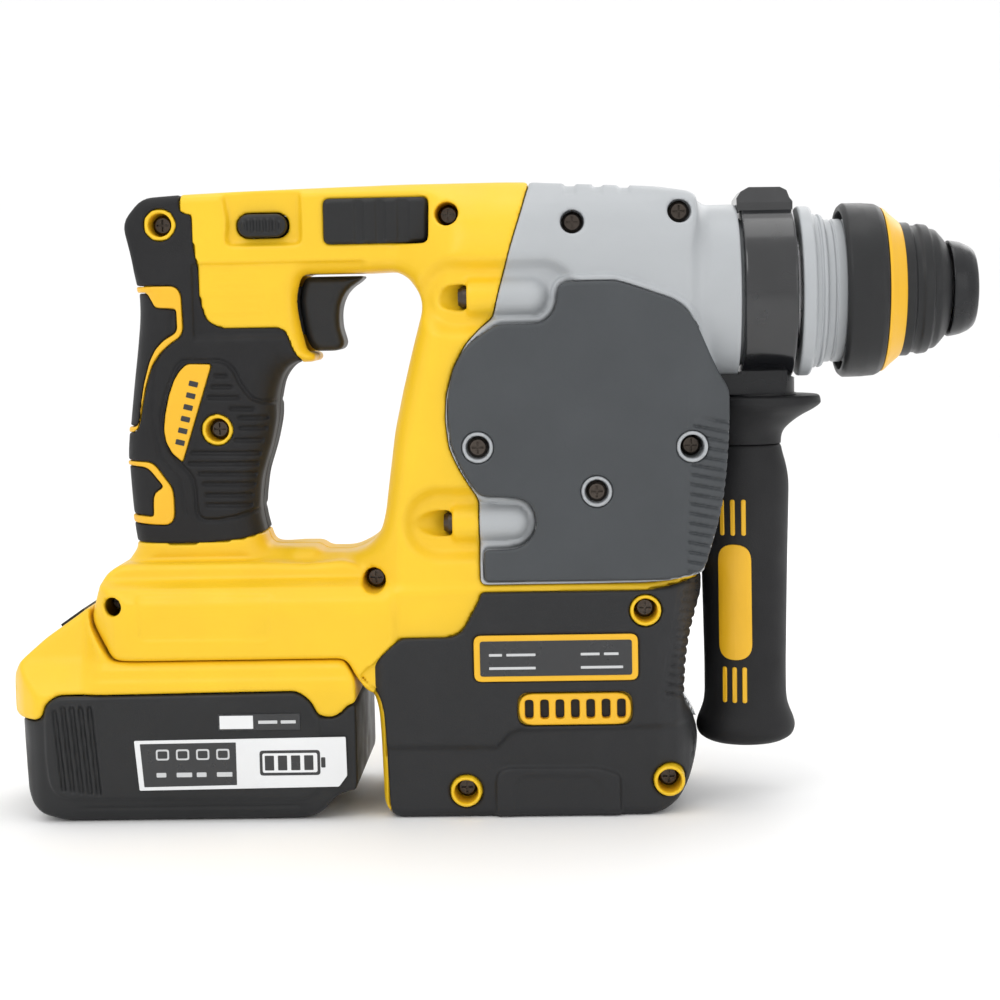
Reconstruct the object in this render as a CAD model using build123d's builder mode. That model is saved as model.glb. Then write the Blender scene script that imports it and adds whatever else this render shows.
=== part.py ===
from build123d import *
import os
from math import cos, sin, radians, pi, atan2, degrees, sqrt

# Cordless rotary hammer (SDS-plus class, L-shaped, D-handle), millimetres.
# Frame: origin on the spindle axis at the mouth of the tool-holder bore,
# +X forward out of the mouth, +Z up, the machine's right-hand side is -Y.
os.makedirs("parts", exist_ok=True)

# ------------------------------------------------------------ dimensions
WALL = 3.0            # casing wall
HW_ARM = 17.5         # half width of the top arm and the rear grip
HW_CORE = 15.2        # half width of the grip core under the rubber
HW_CASE = 34.5        # half width of gear case and motor housing
HW_PAD = 36.5         # half width over the rubber pads
HW_FOOT = 36.5        # half width of the battery foot
HW_BATT = 38.0        # half width of the battery
Z_TOP = 39.5
Z_FLOOR = -180.0
Z_SEAM = -99.0        # seam between gear case and motor housing
Z_FOOT = -123.5       # underside of the battery foot
Z_MID = -141.0        # seam between battery top and bottom case

BORE_R = 5.0          # tool-holder bore
BORE_LEN = 48.0
NECK_R = 25.5         # seat of the side-handle band
BAND_R = 30.3
BAND_X0, BAND_X1 = -83.0, -64.6
NECK_BORE_R = 20.2

MOTOR_X = -141.0      # vertical motor axis
CRANK_X = -161.0      # vertical crank axis
CLUTCH_X = -121.0     # vertical intermediate shaft
CRANK_THROW = 8.0
ROD_LEN = 28.0
WRIST_X = CRANK_X + CRANK_THROW + ROD_LEN
CYL_R = 14.5
CYL_BORE = 10.5
CYL_X0 = -147.0
FIT = 0.05            # running fit, radial

GRIP_X = -81.6        # axis of the side grip
KNOB_X, KNOB_Z = -132.0, -24.0   # mode selector on the left side
HOLE_R = 4.1          # casing screw recess
RING_R = 5.4          # boss ring round a recess


def save(block, name):
    block.part.label = name
    export_step(block.part, "parts/" + name + ".step")


# Casing screws: x, z, outer half width, length, kind
SCREWS_HANDLE = [(-285.0, 27.1), (-184.6, 28.7), (-267.0, -44.6)]
SCREWS_FOOT = [(-212.1, -97.1), (-305.0, -105.0)]
SCREWS_MOTOR = [(-118.5, -108.0), (-181.3, -170.5), (-110.9, -167.5)]
SCREWS_CASE = [(-141.6, 25.0), (-101.9, -52.0), (-105.0, 28.0)]
SCREWS_FRAME = [(-175.0, -51.1), (-134.6, -66.8)]
TOWERS = [(0.0, -178.0, -149.5), (-77.5, -184.5, -156.0)]   # z, rear x, front x
TOWER_R = 7.0
TOWER_Y = 27.0

# ------------------------------------------------------------ outlines (x, z)
UPPER = [
    (-291.5, 36.6), (-276, 37.6), (-257, 38.3), (-229, 39), (-201, 39.6), (-156.2, Z_TOP),
    (-159.1, 29), (-162.7, 17.4), (-165.6, 7.3), (-169.3, -7.2), (-173.5, -10.5),
    (-178.7, -16.1), (-182.9, -23.9), (-185.5, -33), (-186, -41.6), (-184.9, -51.2),
    (-181.9, -58.1), (-178, -64.7), (-175.2, -69.5), (-175.2, Z_SEAM - 1.5),
    (-222, -106), (-222, -96), (-252, -96), (-295, -96), (-301.5, -90.7), (-297.7, -86.1),
    (-298.6, -80.7), (-299.6, -69.8), (-300.4, -53), (-299.4, -43), (-297.4, -27),
    (-295.9, -16.3), (-294.6, -5), (-294.6, 8), (-295.8, 16.1), (-298.6, 28.1),
]
OPENING = [
    (-236.5, 9.2), (-238.6, 0), (-237.4, -8), (-235.2, -17.6), (-232.0, -19.0), (-232.4, -21.4),
    (-241.2, -21.7), (-245.2, -27), (-247, -35), (-247, -41), (-249.1, -50.4), (-252.6, -61),
    (-254, -71.6), (-253.4, -77), (-250.9, -86.5), (-233.5, -86.8), (-231.0, -88.8),
    (-221.5, -89.0), (-214.5, -86), (-209.7, -80.5), (-207.9, -74), (-206.9, -66.5),
    (-205.7, -57.8), (-204, -45.5), (-200.9, -31.7), (-197.4, -17.8), (-193.6, -4.1),
    (-194.4, 1.5), (-198.5, 7.2), (-203.4, 9.6), (-213, 9.2),
]
GRIP_CORE_CUT = [   # everything of the grip that rubber covers, outside view
    (-277.9, 42), (-305, 42), (-305, -84.0), (-271, -84.4), (-260.4, -83.4), (-249, -81.0),
    (-249, -60), (-243, -40), (-240, -21.4), (-236.2, -21.4), (-239.4, -17.8), (-241.7, -11.2),
    (-244.1, -9.2), (-265.1, -9), (-270, -6.1), (-271.9, 0.9), (-272.2, 12.7), (-273.4, 18.3),
    (-273.7, 30.6), (-277.9, 31.2),
]
GRIP_CORE = [       # grip core, 2 mm inside the rubber's outside
    (-277.9, 35.2), (-290.5, 34.3), (-296.2, 27.6), (-293.6, 15.8), (-292.5, 8), (-292.5, -5),
    (-293.8, -16.5), (-295.3, -27.2), (-297.2, -43), (-298.2, -53), (-297.4, -69.8),
    (-296.4, -84.0), (-271, -84.4), (-260.4, -83.4), (-255.0, -82.4), (-256.1, -72), (-254.8, -61.5),
    (-251.2, -50.8), (-249.2, -41), (-249.2, -34.6), (-247.1, -28), (-242.2, -24), (-238.4, -23.6),
    (-236.2, -21.4), (-239.4, -17.8), (-241.7, -11.2),
    (-244.1, -9.2), (-265.1, -9), (-270, -6.1), (-271.9, 0.9), (-272.2, 12.7), (-273.4, 18.3),
    (-273.7, 30.6), (-277.9, 31.2),
]
FOOT = [
    (-301.5, -90.7), (-307.2, -94.4), (-310.4, -103), (-312.3, -109.3), (-311.3, -112.5),
    (-303.3, Z_FOOT), (-222, Z_FOOT), (-218.5, -130.4), (-214, -136), (-208, -136), (-208, -98),
    (-222, -90.4), (-236, -91.5), (-252, -90.7),
]
MOTOR = [
    (-175.3, Z_SEAM), (-118, Z_SEAM), (-110, -98.6), (-101.5, -97.0), (-98.0, -95.8), (-98.0, -104.8), (-100.2, -110.5), (-102.6, -117.6),
    (-104.0, -125), (-104.9, -134), (-105.0, -142), (-102.8, -145.5), (-100.5, -151), (-99.8, -156),
    (-100.6, -161.5), (-102.8, -168.5), (-106.4, -174.6), (-111, -178.2), (-117, Z_FLOOR),
    (-206, Z_FLOOR), (-210.2, -176), (-210.9, -151), (-211.5, -142), (-213.2, -136.6),
    (-218.5, -130.4), (-218.5, -112), (-210, -99),
]
CASE = [
    (-156.2, Z_TOP), (-145, 38.8), (-113, 37.2), (-105.7, 36), (-98.6, 34.8), (-98.6, -95.4),
    (-101.5, -96.6), (-110, -98.2), (-118, -98.7), (-175.0, -98.7), (-175.2, -69.5), (-178, -64.7), (-181.9, -58.1),
    (-184.9, -51.2), (-186, -41.6), (-185.5, -33), (-182.9, -23.9), (-178.7, -16.1),
    (-173.5, -10.5), (-169.3, -7.2), (-165.6, 7.3), (-162.7, 17.4), (-159.1, 29),
]
CASE_IN = [
    (-153.5, 36.2), (-113, 34.2), (-101.6, 32), (-101.6, -94.6), (-172.2, -95.6), (-172.2, -71),
    (-175.4, -66.2), (-179.2, -59.2), (-181.8, -51), (-183, -41.6), (-182.4, -33.6), (-179.9, -25),
    (-176.2, -18.4), (-171.4, -13), (-166.7, -9.4), (-162.6, 8), (-159.8, 18), (-156.2, 29.6),
]
CHEEK = [
    (-99.2, -12), (-95.2, -21), (-91.9, -27.8), (-88.6, -34), (-88.3, -43), (-88.9, -53.3),
    (-89.8, -61.9), (-91.0, -70.4), (-92.9, -78.9), (-95.2, -86.5), (-97.9, -94.2), (-99.2, -95.2),
]
PAD = [
    (-167.9, -9.2), (-153.0, -9.1), (-150.3, -7.5), (-148.2, -4.8), (-147.1, 1.9), (-146.0, 3.9),
    (-143.6, 4.8), (-127.4, 4.9), (-122.4, 3.4), (-108.3, -1.5), (-104.3, -4.0), (-101.6, -7.4),
    (-98.8, -11.8), (-98.8, -94.8), (-101.5, -95.8), (-110.0, -97.2), (-173.7, -97.6),
    (-173.9, -86.2), (-164.6, -86.0), (-161.2, -85.4), (-157.7, -83.0), (-155.9, -79.6),
    (-155.5, -76.9), (-156.2, -73.4), (-158.2, -70.3), (-161.5, -68.9), (-174.5, -68.0),
    (-177.2, -64.9), (-181.2, -57.9), (-184.4, -50.0), (-185.2, -41.5), (-185.1, -33.0),
    (-183.2, -24.5), (-179.6, -17.8), (-175.1, -13.8), (-170.7, -10.8),
]
SKIN = [
    (-218.0, -130.0), (-205.0, -118.3), (-202.5, -116.6), (-185.9, -116.5), (-182.4, -115.2),
    (-180.3, -112.4), (-175.3, -103.1), (-174.9, -101.0), (-118, -101.0), (-111.7, -100.3),
    (-103.1, -98.8), (-98.0, -97.6), (-98.0, -104.8), (-100.2, -110.5), (-102.6, -117.6), (-104.0, -125),
    (-104.9, -134), (-105.0, -142), (-102.8, -145.5), (-100.5, -151), (-99.8, -156), (-100.6, -161.5),
    (-102.8, -168.5), (-106.4, -174.6), (-111, -178.2), (-117, Z_FLOOR), (-205.6, Z_FLOOR),
    (-208.1, -174.9), (-208.7, -159.4), (-208.9, -150.5), (-209.4, -142.4), (-210.6, -137.5), (-213.3, -133.2),
]

# ------------------------------------------------------------ casing, solid forms
with BuildPart() as upper_form:
    with BuildSketch(Plane.XZ):
        Polygon(*UPPER, align=None)
        Polygon(*OPENING, align=None, mode=Mode.SUBTRACT)
    extrude(amount=HW_CASE)
    # plan view: narrow arm and grip, flaring into the gear case
    with BuildSketch(Plane.XY.offset(-130)):
        Polygon((-320, 1), (-320, -HW_ARM), (-213, -HW_ARM), (-205, -19.5), (-196, -24.5), (-186, -32.5),
                (-181, -HW_CASE), (-150, -HW_CASE), (-150, 1), align=None)
    extrude(amount=180, mode=Mode.INTERSECT)

with BuildPart() as foot_form:
    with BuildSketch(Plane.XZ):
        Polygon(*FOOT, align=None)
    extrude(amount=HW_FOOT)
    with BuildSketch(Plane.YZ.offset(-320)):
        Polygon((1, -137), (1, -90), (-24.5, -90), (-25.5, -96.5), (-31.5, -98), (-35.5, -103.5), (-HW_FOOT, -108), (-HW_FOOT, -137), align=None)
    extrude(amount=120, mode=Mode.INTERSECT)
    with BuildSketch(Plane.XY.offset(-140)):
        Polygon((-311, 1), (-313, -23), (-303.5, -33), (-296, -HW_FOOT), (-200, -HW_FOOT), (-200, 1), align=None)
    extrude(amount=60, mode=Mode.INTERSECT)

with BuildPart() as motor_form:
    with BuildSketch(Plane.XZ):
        Polygon(*MOTOR, align=None)
    extrude(amount=HW_CASE)
    # rounded front and rear corners in plan
    with BuildSketch(Plane.XY.offset(-185)):
        Polygon((-98, 1), (-98.2, -14), (-100.6, -23), (-107, -30), (-116, -HW_CASE), (-203, -HW_CASE), (-214, -31), (-220, -22), (-220, 1), align=None)
    extrude(amount=95, mode=Mode.INTERSECT)

with BuildPart() as handle_form:
    add(upper_form.part)
    add(foot_form.part)
    add(motor_form.part)

with BuildPart() as motor_cavity:
    with BuildSketch(Plane.XZ):
        Polygon((-178.4, -92), (-101.6, -92), (-101.6, -105.6), (-104, -112.6), (-106.4, -119), (-107.9, -127),
                (-108.4, -141), (-104.8, -150), (-103.6, -156), (-106.6, -168.4), (-113, -175), (-119, -176.6),
                (-204.6, -176.6), (-207.3, -150), (-208, -141), (-212, -134), (-214.4, -128), (-207, -104), (-196, -92), align=None)
    extrude(amount=HW_CASE - 4.0)
    with BuildSketch(Plane.XY.offset(-185)):
        Polygon((-101, 1), (-101.4, -13), (-103.8, -21), (-109.5, -27), (-117, -HW_CASE + 4), (-201, -HW_CASE + 4), (-211, -27.6), (-216.4, -20), (-216.4, 1), align=None)
    extrude(amount=95, mode=Mode.INTERSECT)

with BuildPart() as case_cavity:
    with BuildSketch(Plane.XZ):
        Polygon(*CASE_IN, align=None)
    extrude(amount=HW_CASE - 3.4)
    with BuildSketch(Plane.YZ.offset(-190)):
        Polygon((1, 36.3), (1, -100), (-HW_CASE + 3.4, -100), (-HW_CASE + 3.4, 6), (-29, 17.6), (-23.6, 26.6), (-17.4, 32.9), (-13.0, 36.3), align=None)
    extrude(amount=100, mode=Mode.INTERSECT)

# ------------------------------------------------------------ handle and motor casing, right half
with BuildPart() as handle_half:
    add(handle_form.part)
    # grip stepped down to its core where rubber goes over it
    with BuildSketch(Plane.XZ.offset(HW_CORE)):
        Polygon(*GRIP_CORE_CUT, align=None)
    extrude(amount=10, mode=Mode.SUBTRACT)
    with BuildSketch(Plane.XZ.offset(-1)):
        Polygon(*GRIP_CORE_CUT, align=None)
        Polygon(*GRIP_CORE, align=None, mode=Mode.SUBTRACT)
    extrude(amount=30, mode=Mode.SUBTRACT)
    # hollow: grip and arm
    with BuildSketch(Plane.XZ):
        Polygon((-289, 31), (-293.2, 26), (-290.6, 15), (-289.5, 8), (-289.5, -5), (-291, -17), (-292.4, -28), (-294, -43),
                (-295, -53), (-294.4, -69.8), (-293.6, -92.5), (-258, -92.5), (-258.6, -72), (-257.6, -62),
                (-254, -51), (-252, -40), (-252, -34), (-250, -29), (-246, -25.6), (-241.6, -25.0), (-240, -22), (-243, -12),
                (-242.6, 0), (-240.5, 12.6), (-200, 13), (-194.5, 10), (-190.4, 3), (-190, -4.6), (-194, -19), (-197.4, -32.6),
                (-200.6, -46), (-203, -66), (-204.2, -78), (-206, -84), (-212, -92), (-216, -96), (-216, -99), (-178.4, -96), (-178.4, -70.6),
                (-181.2, -66.4), (-185, -59.4), (-188, -52), (-189.2, -41.6), (-188.6, -32.4), (-185.8, -22.6), (-181, -13.6),
                (-175.6, -8), (-172.2, -5.6), (-168.6, 8), (-165.6, 18.2), (-162.2, 29.8), (-160.6, 35.8), (-257, 34.6), align=None)
    extrude(amount=HW_ARM - 4.6, mode=Mode.SUBTRACT)
    # hollow: foot, with the battery rail channel open downwards and to the rear
    with BuildSketch(Plane.XZ):
        Polygon((-299, -97.2), (-305, -99.5), (-307, -104), (-307.4, -109), (-303, -110.5), (-225, -110.5), (-219, -113), (-212, -104), (-212, -97.2), align=None)
    extrude(amount=29, mode=Mode.SUBTRACT)
    with BuildSketch(Plane.XZ):
        Polygon((-320, -113.4), (-238, -113.4), (-238, -130), (-320, -130), align=None)
    extrude(amount=27, mode=Mode.SUBTRACT)
    with BuildSketch(Plane.XZ):
        Polygon((-320, -113.4), (-302.0, -113.4), (-302.0, -126), (-320, -126), align=None)
    extrude(amount=27, mode=Mode.SUBTRACT)
    # hollow: motor housing
    add(motor_cavity.part, mode=Mode.SUBTRACT)
    # window the crank and rod swing through
    with BuildSketch(Plane.XZ):
        Polygon((-178.5, 7), (-160, 7), (-160, -18.5), (-174, -18.5), (-178.5, -15.5), align=None)
    extrude(amount=15.5, mode=Mode.SUBTRACT)
    # trigger slot through the front of the grip
    with BuildSketch(Plane.XZ):
        Polygon((-248, 8.8), (-232, 8.8), (-232, -18.2), (-248, -18.2), align=None)
    extrude(amount=10.4, mode=Mode.SUBTRACT)
    # rubber recess on the motor housing and pocket for the ribbed pad on the arm
    with BuildSketch(Plane.XZ.offset(HW_CASE - 1.6)):
        Polygon(*SKIN, align=None)
    extrude(amount=5, mode=Mode.SUBTRACT)
    with BuildSketch(Plane.XZ.offset(HW_ARM - 1.2)):
        with Locations((-209.6, 27.1)):
            RectangleRounded(36.8, 16.2, 2)
    extrude(amount=5, mode=Mode.SUBTRACT)
    # direction button recess and slot
    with BuildSketch(Plane.XZ.offset(HW_ARM - 2.4)):
        Polygon((-265.5, 37), (-238, 37), (-235.7, 33), (-235.7, 19.4), (-262.5, 19.4), (-261, 28), align=None)
    extrude(amount=5, mode=Mode.SUBTRACT)
    with BuildSketch(Plane.XZ):
        with Locations((-249.2, 26.2)):
            SlotOverall(18.2, 8.6)
    extrude(amount=25, mode=Mode.SUBTRACT)
    # bosses for the casing screws
    with BuildSketch(Plane.XZ):
        with Locations(*[p for p in SCREWS_HANDLE]):
            Circle(RING_R)
    extrude(amount=HW_ARM - 0.6)
    with BuildSketch(Plane.XZ):
        with Locations((-212.1, -97.1)):
            Circle(RING_R)
        with Locations((-303.0, -104.6)):
            Circle(4.4)
    extrude(amount=27)
    with BuildSketch(Plane.XZ.offset(HW_CASE - 12)):
        with Locations(*SCREWS_MOTOR):
            Circle(RING_R)
    extrude(amount=14)
    with BuildSketch(Plane.XZ):
        with Locations((-118.5, -108.0)):
            Circle(2.9)
    extrude(amount=HW_CASE - 2)
    # rails that hold the battery
    with BuildSketch(Plane.YZ.offset(-303)):
        with Locations((-25.0, -121.9)):
            Rectangle(4.4, 3.2)
    extrude(amount=64)
    with BuildSketch(Plane.XZ):
        with Locations((-181.3, -170.5), (-110.9, -167.5)):
            Circle(4.6)
    extrude(amount=HW_CASE - 2)
    # upper and lower screw towers that tie the handle to the gear case
    with BuildSketch(Plane.YZ.offset(TOWERS[0][1] - 7)):
        with Locations((-TOWER_Y, TOWERS[0][0])):
            Circle(TOWER_R)
    extrude(amount=15.5)
    with BuildSketch(Plane.YZ.offset(TOWERS[1][1] - 7)):
        with Locations((-TOWER_Y, TOWERS[1][0])):
            Circle(TOWER_R)
    extrude(amount=16.1)
    for tz, tx0, tx1 in TOWERS:
        with BuildSketch(Plane.YZ.offset(tx0 - 12)):
            with Locations((-TOWER_Y, tz)):
                Circle(4.2)
        extrude(amount=12, mode=Mode.SUBTRACT)
        with BuildSketch(Plane.YZ.offset(tx0 - 1)):
            with Locations((-TOWER_Y, tz)):
                Circle(2.3)
        extrude(amount=22, mode=Mode.SUBTRACT)
    # louvre window in the motor housing
    with BuildSketch(Plane.XZ.offset(HW_CASE - 12)):
        with Locations((-143.2, -141.9)):
            RectangleRounded(36.6, 8.9, 3)
    extrude(amount=20, mode=Mode.SUBTRACT)
    # lens window at the front of the foot, seats for the lower motor bearing
    with BuildSketch(Plane.XZ):
        Polygon((-112, -141.4), (-96, -141.4), (-96, -150.6), (-112, -150.6), align=None)
    extrude(amount=7.3, mode=Mode.SUBTRACT)
    with BuildSketch(Plane.XY.offset(-177)):
        with Locations((MOTOR_X, 0)):
            Circle(13.2)
            Circle(10.02, mode=Mode.SUBTRACT)
        with Locations((MOTOR_X, 15)):
            Rectangle(30, 30, mode=Mode.SUBTRACT)
    extrude(amount=8)

with BuildPart() as right_handle_shell:
    add(handle_half.part)
    # screw recesses
    with BuildSketch(Plane.XZ.offset(HW_ARM - 9)):
        with Locations(*SCREWS_HANDLE):
            Circle(HOLE_R)
    extrude(amount=12, mode=Mode.SUBTRACT)
    with BuildSketch(Plane.XZ.offset(17)):
        with Locations((-212.1, -97.1)):
            Circle(HOLE_R)
        with Locations((-303.0, -104.6)):
            Circle(3.2)
    extrude(amount=24, mode=Mode.SUBTRACT)
    with BuildSketch(Plane.XZ.offset(HW_CASE - 9)):
        with Locations(*SCREWS_MOTOR):
            Circle(HOLE_R)
    extrude(amount=14, mode=Mode.SUBTRACT)
    with BuildSketch(Plane.XZ.offset(-1)):
        with Locations(*SCREWS_HANDLE, (-212.1, -97.1), (-303.0, -104.6), *SCREWS_MOTOR):
            Circle(2.0)
    extrude(amount=36, mode=Mode.SUBTRACT)
with BuildPart() as left_handle_shell:
    add(handle_half.part)
    mirror(about=Plane.XZ, mode=Mode.REPLACE)
    # blind screw holes
    with BuildSketch(Plane.XZ.offset(1)):
        with Locations(*SCREWS_HANDLE, (-212.1, -97.1), (-303.0, -104.6), *SCREWS_MOTOR):
            Circle(2.0)
    extrude(amount=-10, mode=Mode.SUBTRACT)
save(right_handle_shell, "right_handle_shell")
save(left_handle_shell, "left_handle_shell")

# ------------------------------------------------------------ rubber over the grip
with BuildPart() as grip_rubber_right:
    with BuildSketch(Plane.XZ):
        Polygon((-277.9, 36.9), (-291.5, 36.6), (-298.6, 28.1), (-295.8, 16.1), (-294.6, 8), (-294.6, -5), (-295.9, -16.3),
                (-297.4, -27), (-299.4, -43), (-300.4, -53), (-299.6, -69.8), (-298.6, -80.7), (-297.8, -84.0),
                (-271, -84.4), (-260.4, -83.4), (-252.6, -81.8), (-253.4, -77), (-254, -71.6), (-252.6, -61), (-249.1, -50.4), (-247, -41),
                (-247, -35), (-245.2, -27), (-241.2, -21.7), (-236.2, -21.4), (-239.4, -17.8), (-241.7, -11.2),
                (-244.1, -9.2), (-265.1, -9), (-270, -6.1), (-271.9, 0.9), (-272.2, 12.7), (-273.4, 18.3),
                (-273.7, 30.6), (-277.9, 31.2), align=None)
    extrude(amount=HW_ARM)
    with BuildSketch(Plane.XZ):
        Polygon(*GRIP_CORE, align=None)
    extrude(amount=HW_CORE, mode=Mode.SUBTRACT)
    with BuildSketch(Plane.XZ):
        with Locations((-285.0, 27.1), (-267.0, -44.6)):
            Circle(RING_R + 0.05)
    extrude(amount=20, mode=Mode.SUBTRACT)
with BuildPart() as grip_rubber_left:
    add(grip_rubber_right.part)
    mirror(about=Plane.XZ, mode=Mode.REPLACE)
save(grip_rubber_right, "grip_rubber_right")
save(grip_rubber_left, "grip_rubber_left")

# ------------------------------------------------------------ gear case
with BuildPart() as case_half:
    with BuildSketch(Plane.XZ):
        Polygon(*CASE, align=None)
    extrude(amount=HW_CASE)
    # rounded top edge and narrowed front, seen from the front
    with BuildSketch(Plane.YZ.offset(-190)):
        Polygon((1, 45), (1, -100), (-HW_CASE, -100), (-HW_CASE, 8), (-32, 20), (-26, 30), (-19, 36.6), (-14.0, 39.5), align=None)
    extrude(amount=100, mode=Mode.INTERSECT)
    with BuildSketch(Plane.XY.offset(-105)):
        Polygon((-190, 1), (-190, -HW_CASE), (-104, -HW_CASE), (-99.4, -31.5), (-98.6, -29.5), (-98.6, 1), align=None)
    extrude(amount=150, mode=Mode.INTERSECT)
    # shoulder and neck
    with BuildSketch(Plane.XZ):
        Polygon((-110, 0), (-110, 30.9), (-92, 30.9), (-84.6, 30.3), (-84.0, 30.0), (-84.0, NECK_R), (-63.0, NECK_R), (-63.0, 0), align=None)
    revolve(axis=Axis.X, revolution_arc=360)
    split(bisect_by=Plane.XZ, keep=Keep.TOP)
    # hollow
    add(case_cavity.part, mode=Mode.SUBTRACT)
    with BuildSketch(Plane.YZ.offset(-103)):
        Circle(NECK_BORE_R)
    extrude(amount=50, mode=Mode.SUBTRACT)
    # screw tower fronts
    with BuildSketch(Plane.YZ.offset(-168.5)):
        with Locations((-TOWER_Y, 0)):
            Circle(TOWER_R)
    extrude(amount=17)
    with BuildSketch(Plane.YZ.offset(-175.2)):
        with Locations((-TOWER_Y, -77.5)):
            Circle(TOWER_R)
    extrude(amount=17)
    for tz, tx0, tx1 in TOWERS:
        with BuildSketch(Plane.YZ.offset(tx0)):
            with Locations((-TOWER_Y, tz)):
                Circle(2.05)
        extrude(amount=26, mode=Mode.SUBTRACT)
    # bosses and recesses
    with BuildSketch(Plane.XZ):
        with Locations((-141.6, 25.0), (-105.0, 28.0)):
            Circle(4.2)
    extrude(amount=24)
    with BuildSketch(Plane.XZ):
        with Locations((-101.9, -52.0)):
            Circle(3.2)
    extrude(amount=32)
    with BuildSketch(Plane.XZ.offset(30.6)):
        with Locations(*SCREWS_FRAME, (-101.9, -52.0)):
            Circle(RING_R)
    extrude(amount=HW_PAD - 30.6)
    with BuildSketch(Plane.XZ.offset(31.8)):
        with Locations(*SCREWS_FRAME):
            Circle(HOLE_R)
    extrude(amount=20, mode=Mode.SUBTRACT)
    with BuildSketch(Plane.XZ.offset(27)):
        with Locations(*SCREWS_FRAME):
            Circle(2.0)
    extrude(amount=12, mode=Mode.SUBTRACT)
    # window the crank and rod swing through, and the hole the motor shaft comes up through
    with BuildSketch(Plane.XZ):
        Polygon((-178.5, 7), (-160, 7), (-160, -18.5), (-174, -18.5), (-178.5, -15.5), align=None)
    extrude(amount=15.5, mode=Mode.SUBTRACT)
    with BuildSketch(Plane.XY.offset(-101)):
        with Locations((MOTOR_X, 0)):
            Circle(14.0)
    extrude(amount=8, mode=Mode.SUBTRACT)
    # clear of the handle casing behind the seam
    with BuildSketch(Plane.XZ.offset(-5)):
        Polygon((-240, Z_TOP + 3), (-156.2, Z_TOP + 3), (-156.2, Z_TOP), (-159.1, 29), (-162.7, 17.4), (-165.6, 7.3), (-169.3, -7.2), (-173.5, -10.5),
                (-178.7, -16.1), (-182.9, -23.9), (-185.5, -33), (-186, -41.6), (-184.9, -51.2),
                (-181.9, -58.1), (-178, -64.7), (-175.2, -69.5), (-175.2, Z_SEAM - 1.5), (-240, -101), align=None)
    extrude(amount=60, mode=Mode.SUBTRACT)
# the right half also carries the cheek that the side grip rests beside
with BuildPart() as right_cheek:
    with BuildSketch(Plane.XZ.offset(17.5)):
        Polygon(*CHEEK, align=None)
    extrude(amount=HW_CASE - 17.5)
    with BuildSketch(Plane.XY.offset(-105)):
        Polygon((-99.2, -17.5), (-97.0, -17.5), (-92.4, -19.5), (-88.2, -24), (-88.2, -28), (-92.5, -32.5), (-99.2, -HW_CASE), align=None)
    extrude(amount=150, mode=Mode.INTERSECT)
with BuildPart() as gear_case_right:
    add(case_half.part)
    add(right_cheek.part)
    with BuildSketch(Plane.XZ.offset(20)):
        with Locations((-141.6, 25.0), (-105.0, 28.0)):
            Circle(HOLE_R)
    extrude(amount=20, mode=Mode.SUBTRACT)
    with BuildSketch(Plane.XZ.offset(24)):
        with Locations((-101.9, -52.0)):
            Circle(HOLE_R)
    extrude(amount=20, mode=Mode.SUBTRACT)
    with BuildSketch(Plane.XZ.offset(-1)):
        with Locations(*SCREWS_CASE):
            Circle(2.0)
    extrude(amount=42, mode=Mode.SUBTRACT)
with BuildPart() as gear_case_left:
    add(case_half.part)
    mirror(about=Plane.XZ, mode=Mode.REPLACE)
    # blind screw holes, and the mode selector's shaft hole
    with BuildSketch(Plane.XZ.offset(1)):
        with Locations(*SCREWS_CASE):
            Circle(2.0)
    extrude(amount=-10, mode=Mode.SUBTRACT)
    with BuildSketch(Plane.XZ.offset(-28)):
        with Locations((KNOB_X, KNOB_Z)):
            Circle(4.6)
    extrude(amount=-12, mode=Mode.SUBTRACT)
# relief on the front corner of the left half, so that the swung side handle passes clear
with BuildPart(mode=Mode.PRIVATE) as corner_relief:
    with BuildSketch(Plane.XY.offset(-58)):
        Polygon((-98.2, 38), (-98.2, 30.2), (-95, 30.2), (-95, 38), align=None)
    extrude(amount=11)
gear_case_left.part -= corner_relief.part
save(gear_case_right, "gear_case_right")
save(gear_case_left, "gear_case_left")

# ------------------------------------------------------------ rubber pads on the case and skin on the motor housing
with BuildPart() as case_pad_right:
    with BuildSketch(Plane.XZ.offset(HW_CASE)):
        Polygon(*PAD, align=None)
        with Locations((-175.0, -51.1), (-134.6, -66.8), (-101.9, -52.0)):
            Circle(RING_R + 0.05, mode=Mode.SUBTRACT)
    extrude(amount=HW_PAD - HW_CASE)
with BuildPart() as case_pad_left:
    add(case_pad_right.part)
    mirror(about=Plane.XZ, mode=Mode.REPLACE)
    with BuildSketch(Plane.XZ.offset(-HW_CASE + 1)):
        with Locations((KNOB_X, KNOB_Z)):
            Circle(15.6)
    extrude(amount=-6, mode=Mode.SUBTRACT)
with BuildPart() as case_pads:
    add(case_pad_right.part)
    add(case_pad_left.part)
save(case_pads, "case_pads")

with BuildPart() as motor_skin_right:
    with BuildSketch(Plane.XZ.offset(HW_CASE - 1.6)):
        Polygon(*SKIN, align=None)
        with Locations((-118.5, -108.0), (-181.3, -170.5), (-110.9, -167.5)):
            Circle(RING_R + 0.05, mode=Mode.SUBTRACT)
        with Locations((-143.2, -141.9)):
            RectangleRounded(39.2, 11.4, 4, mode=Mode.SUBTRACT)
    extrude(amount=3.6)
    with BuildSketch(Plane.XY.offset(-185)):
        Polygon((-103.3, -32.9), (-107, -35.0), (-112, -HW_PAD), (-206, -HW_PAD), (-212, -33.5), (-214, -32.9), align=None)
    extrude(amount=95, mode=Mode.INTERSECT)
    # recess for the name plate
    with BuildSketch(Plane.XZ.offset(HW_PAD - 0.8)):
        with Locations((-149.5, -123.9)):
            RectangleRounded(56.8, 16.4, 2.6)
    extrude(amount=2, mode=Mode.SUBTRACT)
with BuildPart() as motor_skin_left:
    add(motor_skin_right.part)
    mirror(about=Plane.XZ, mode=Mode.REPLACE)
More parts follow.
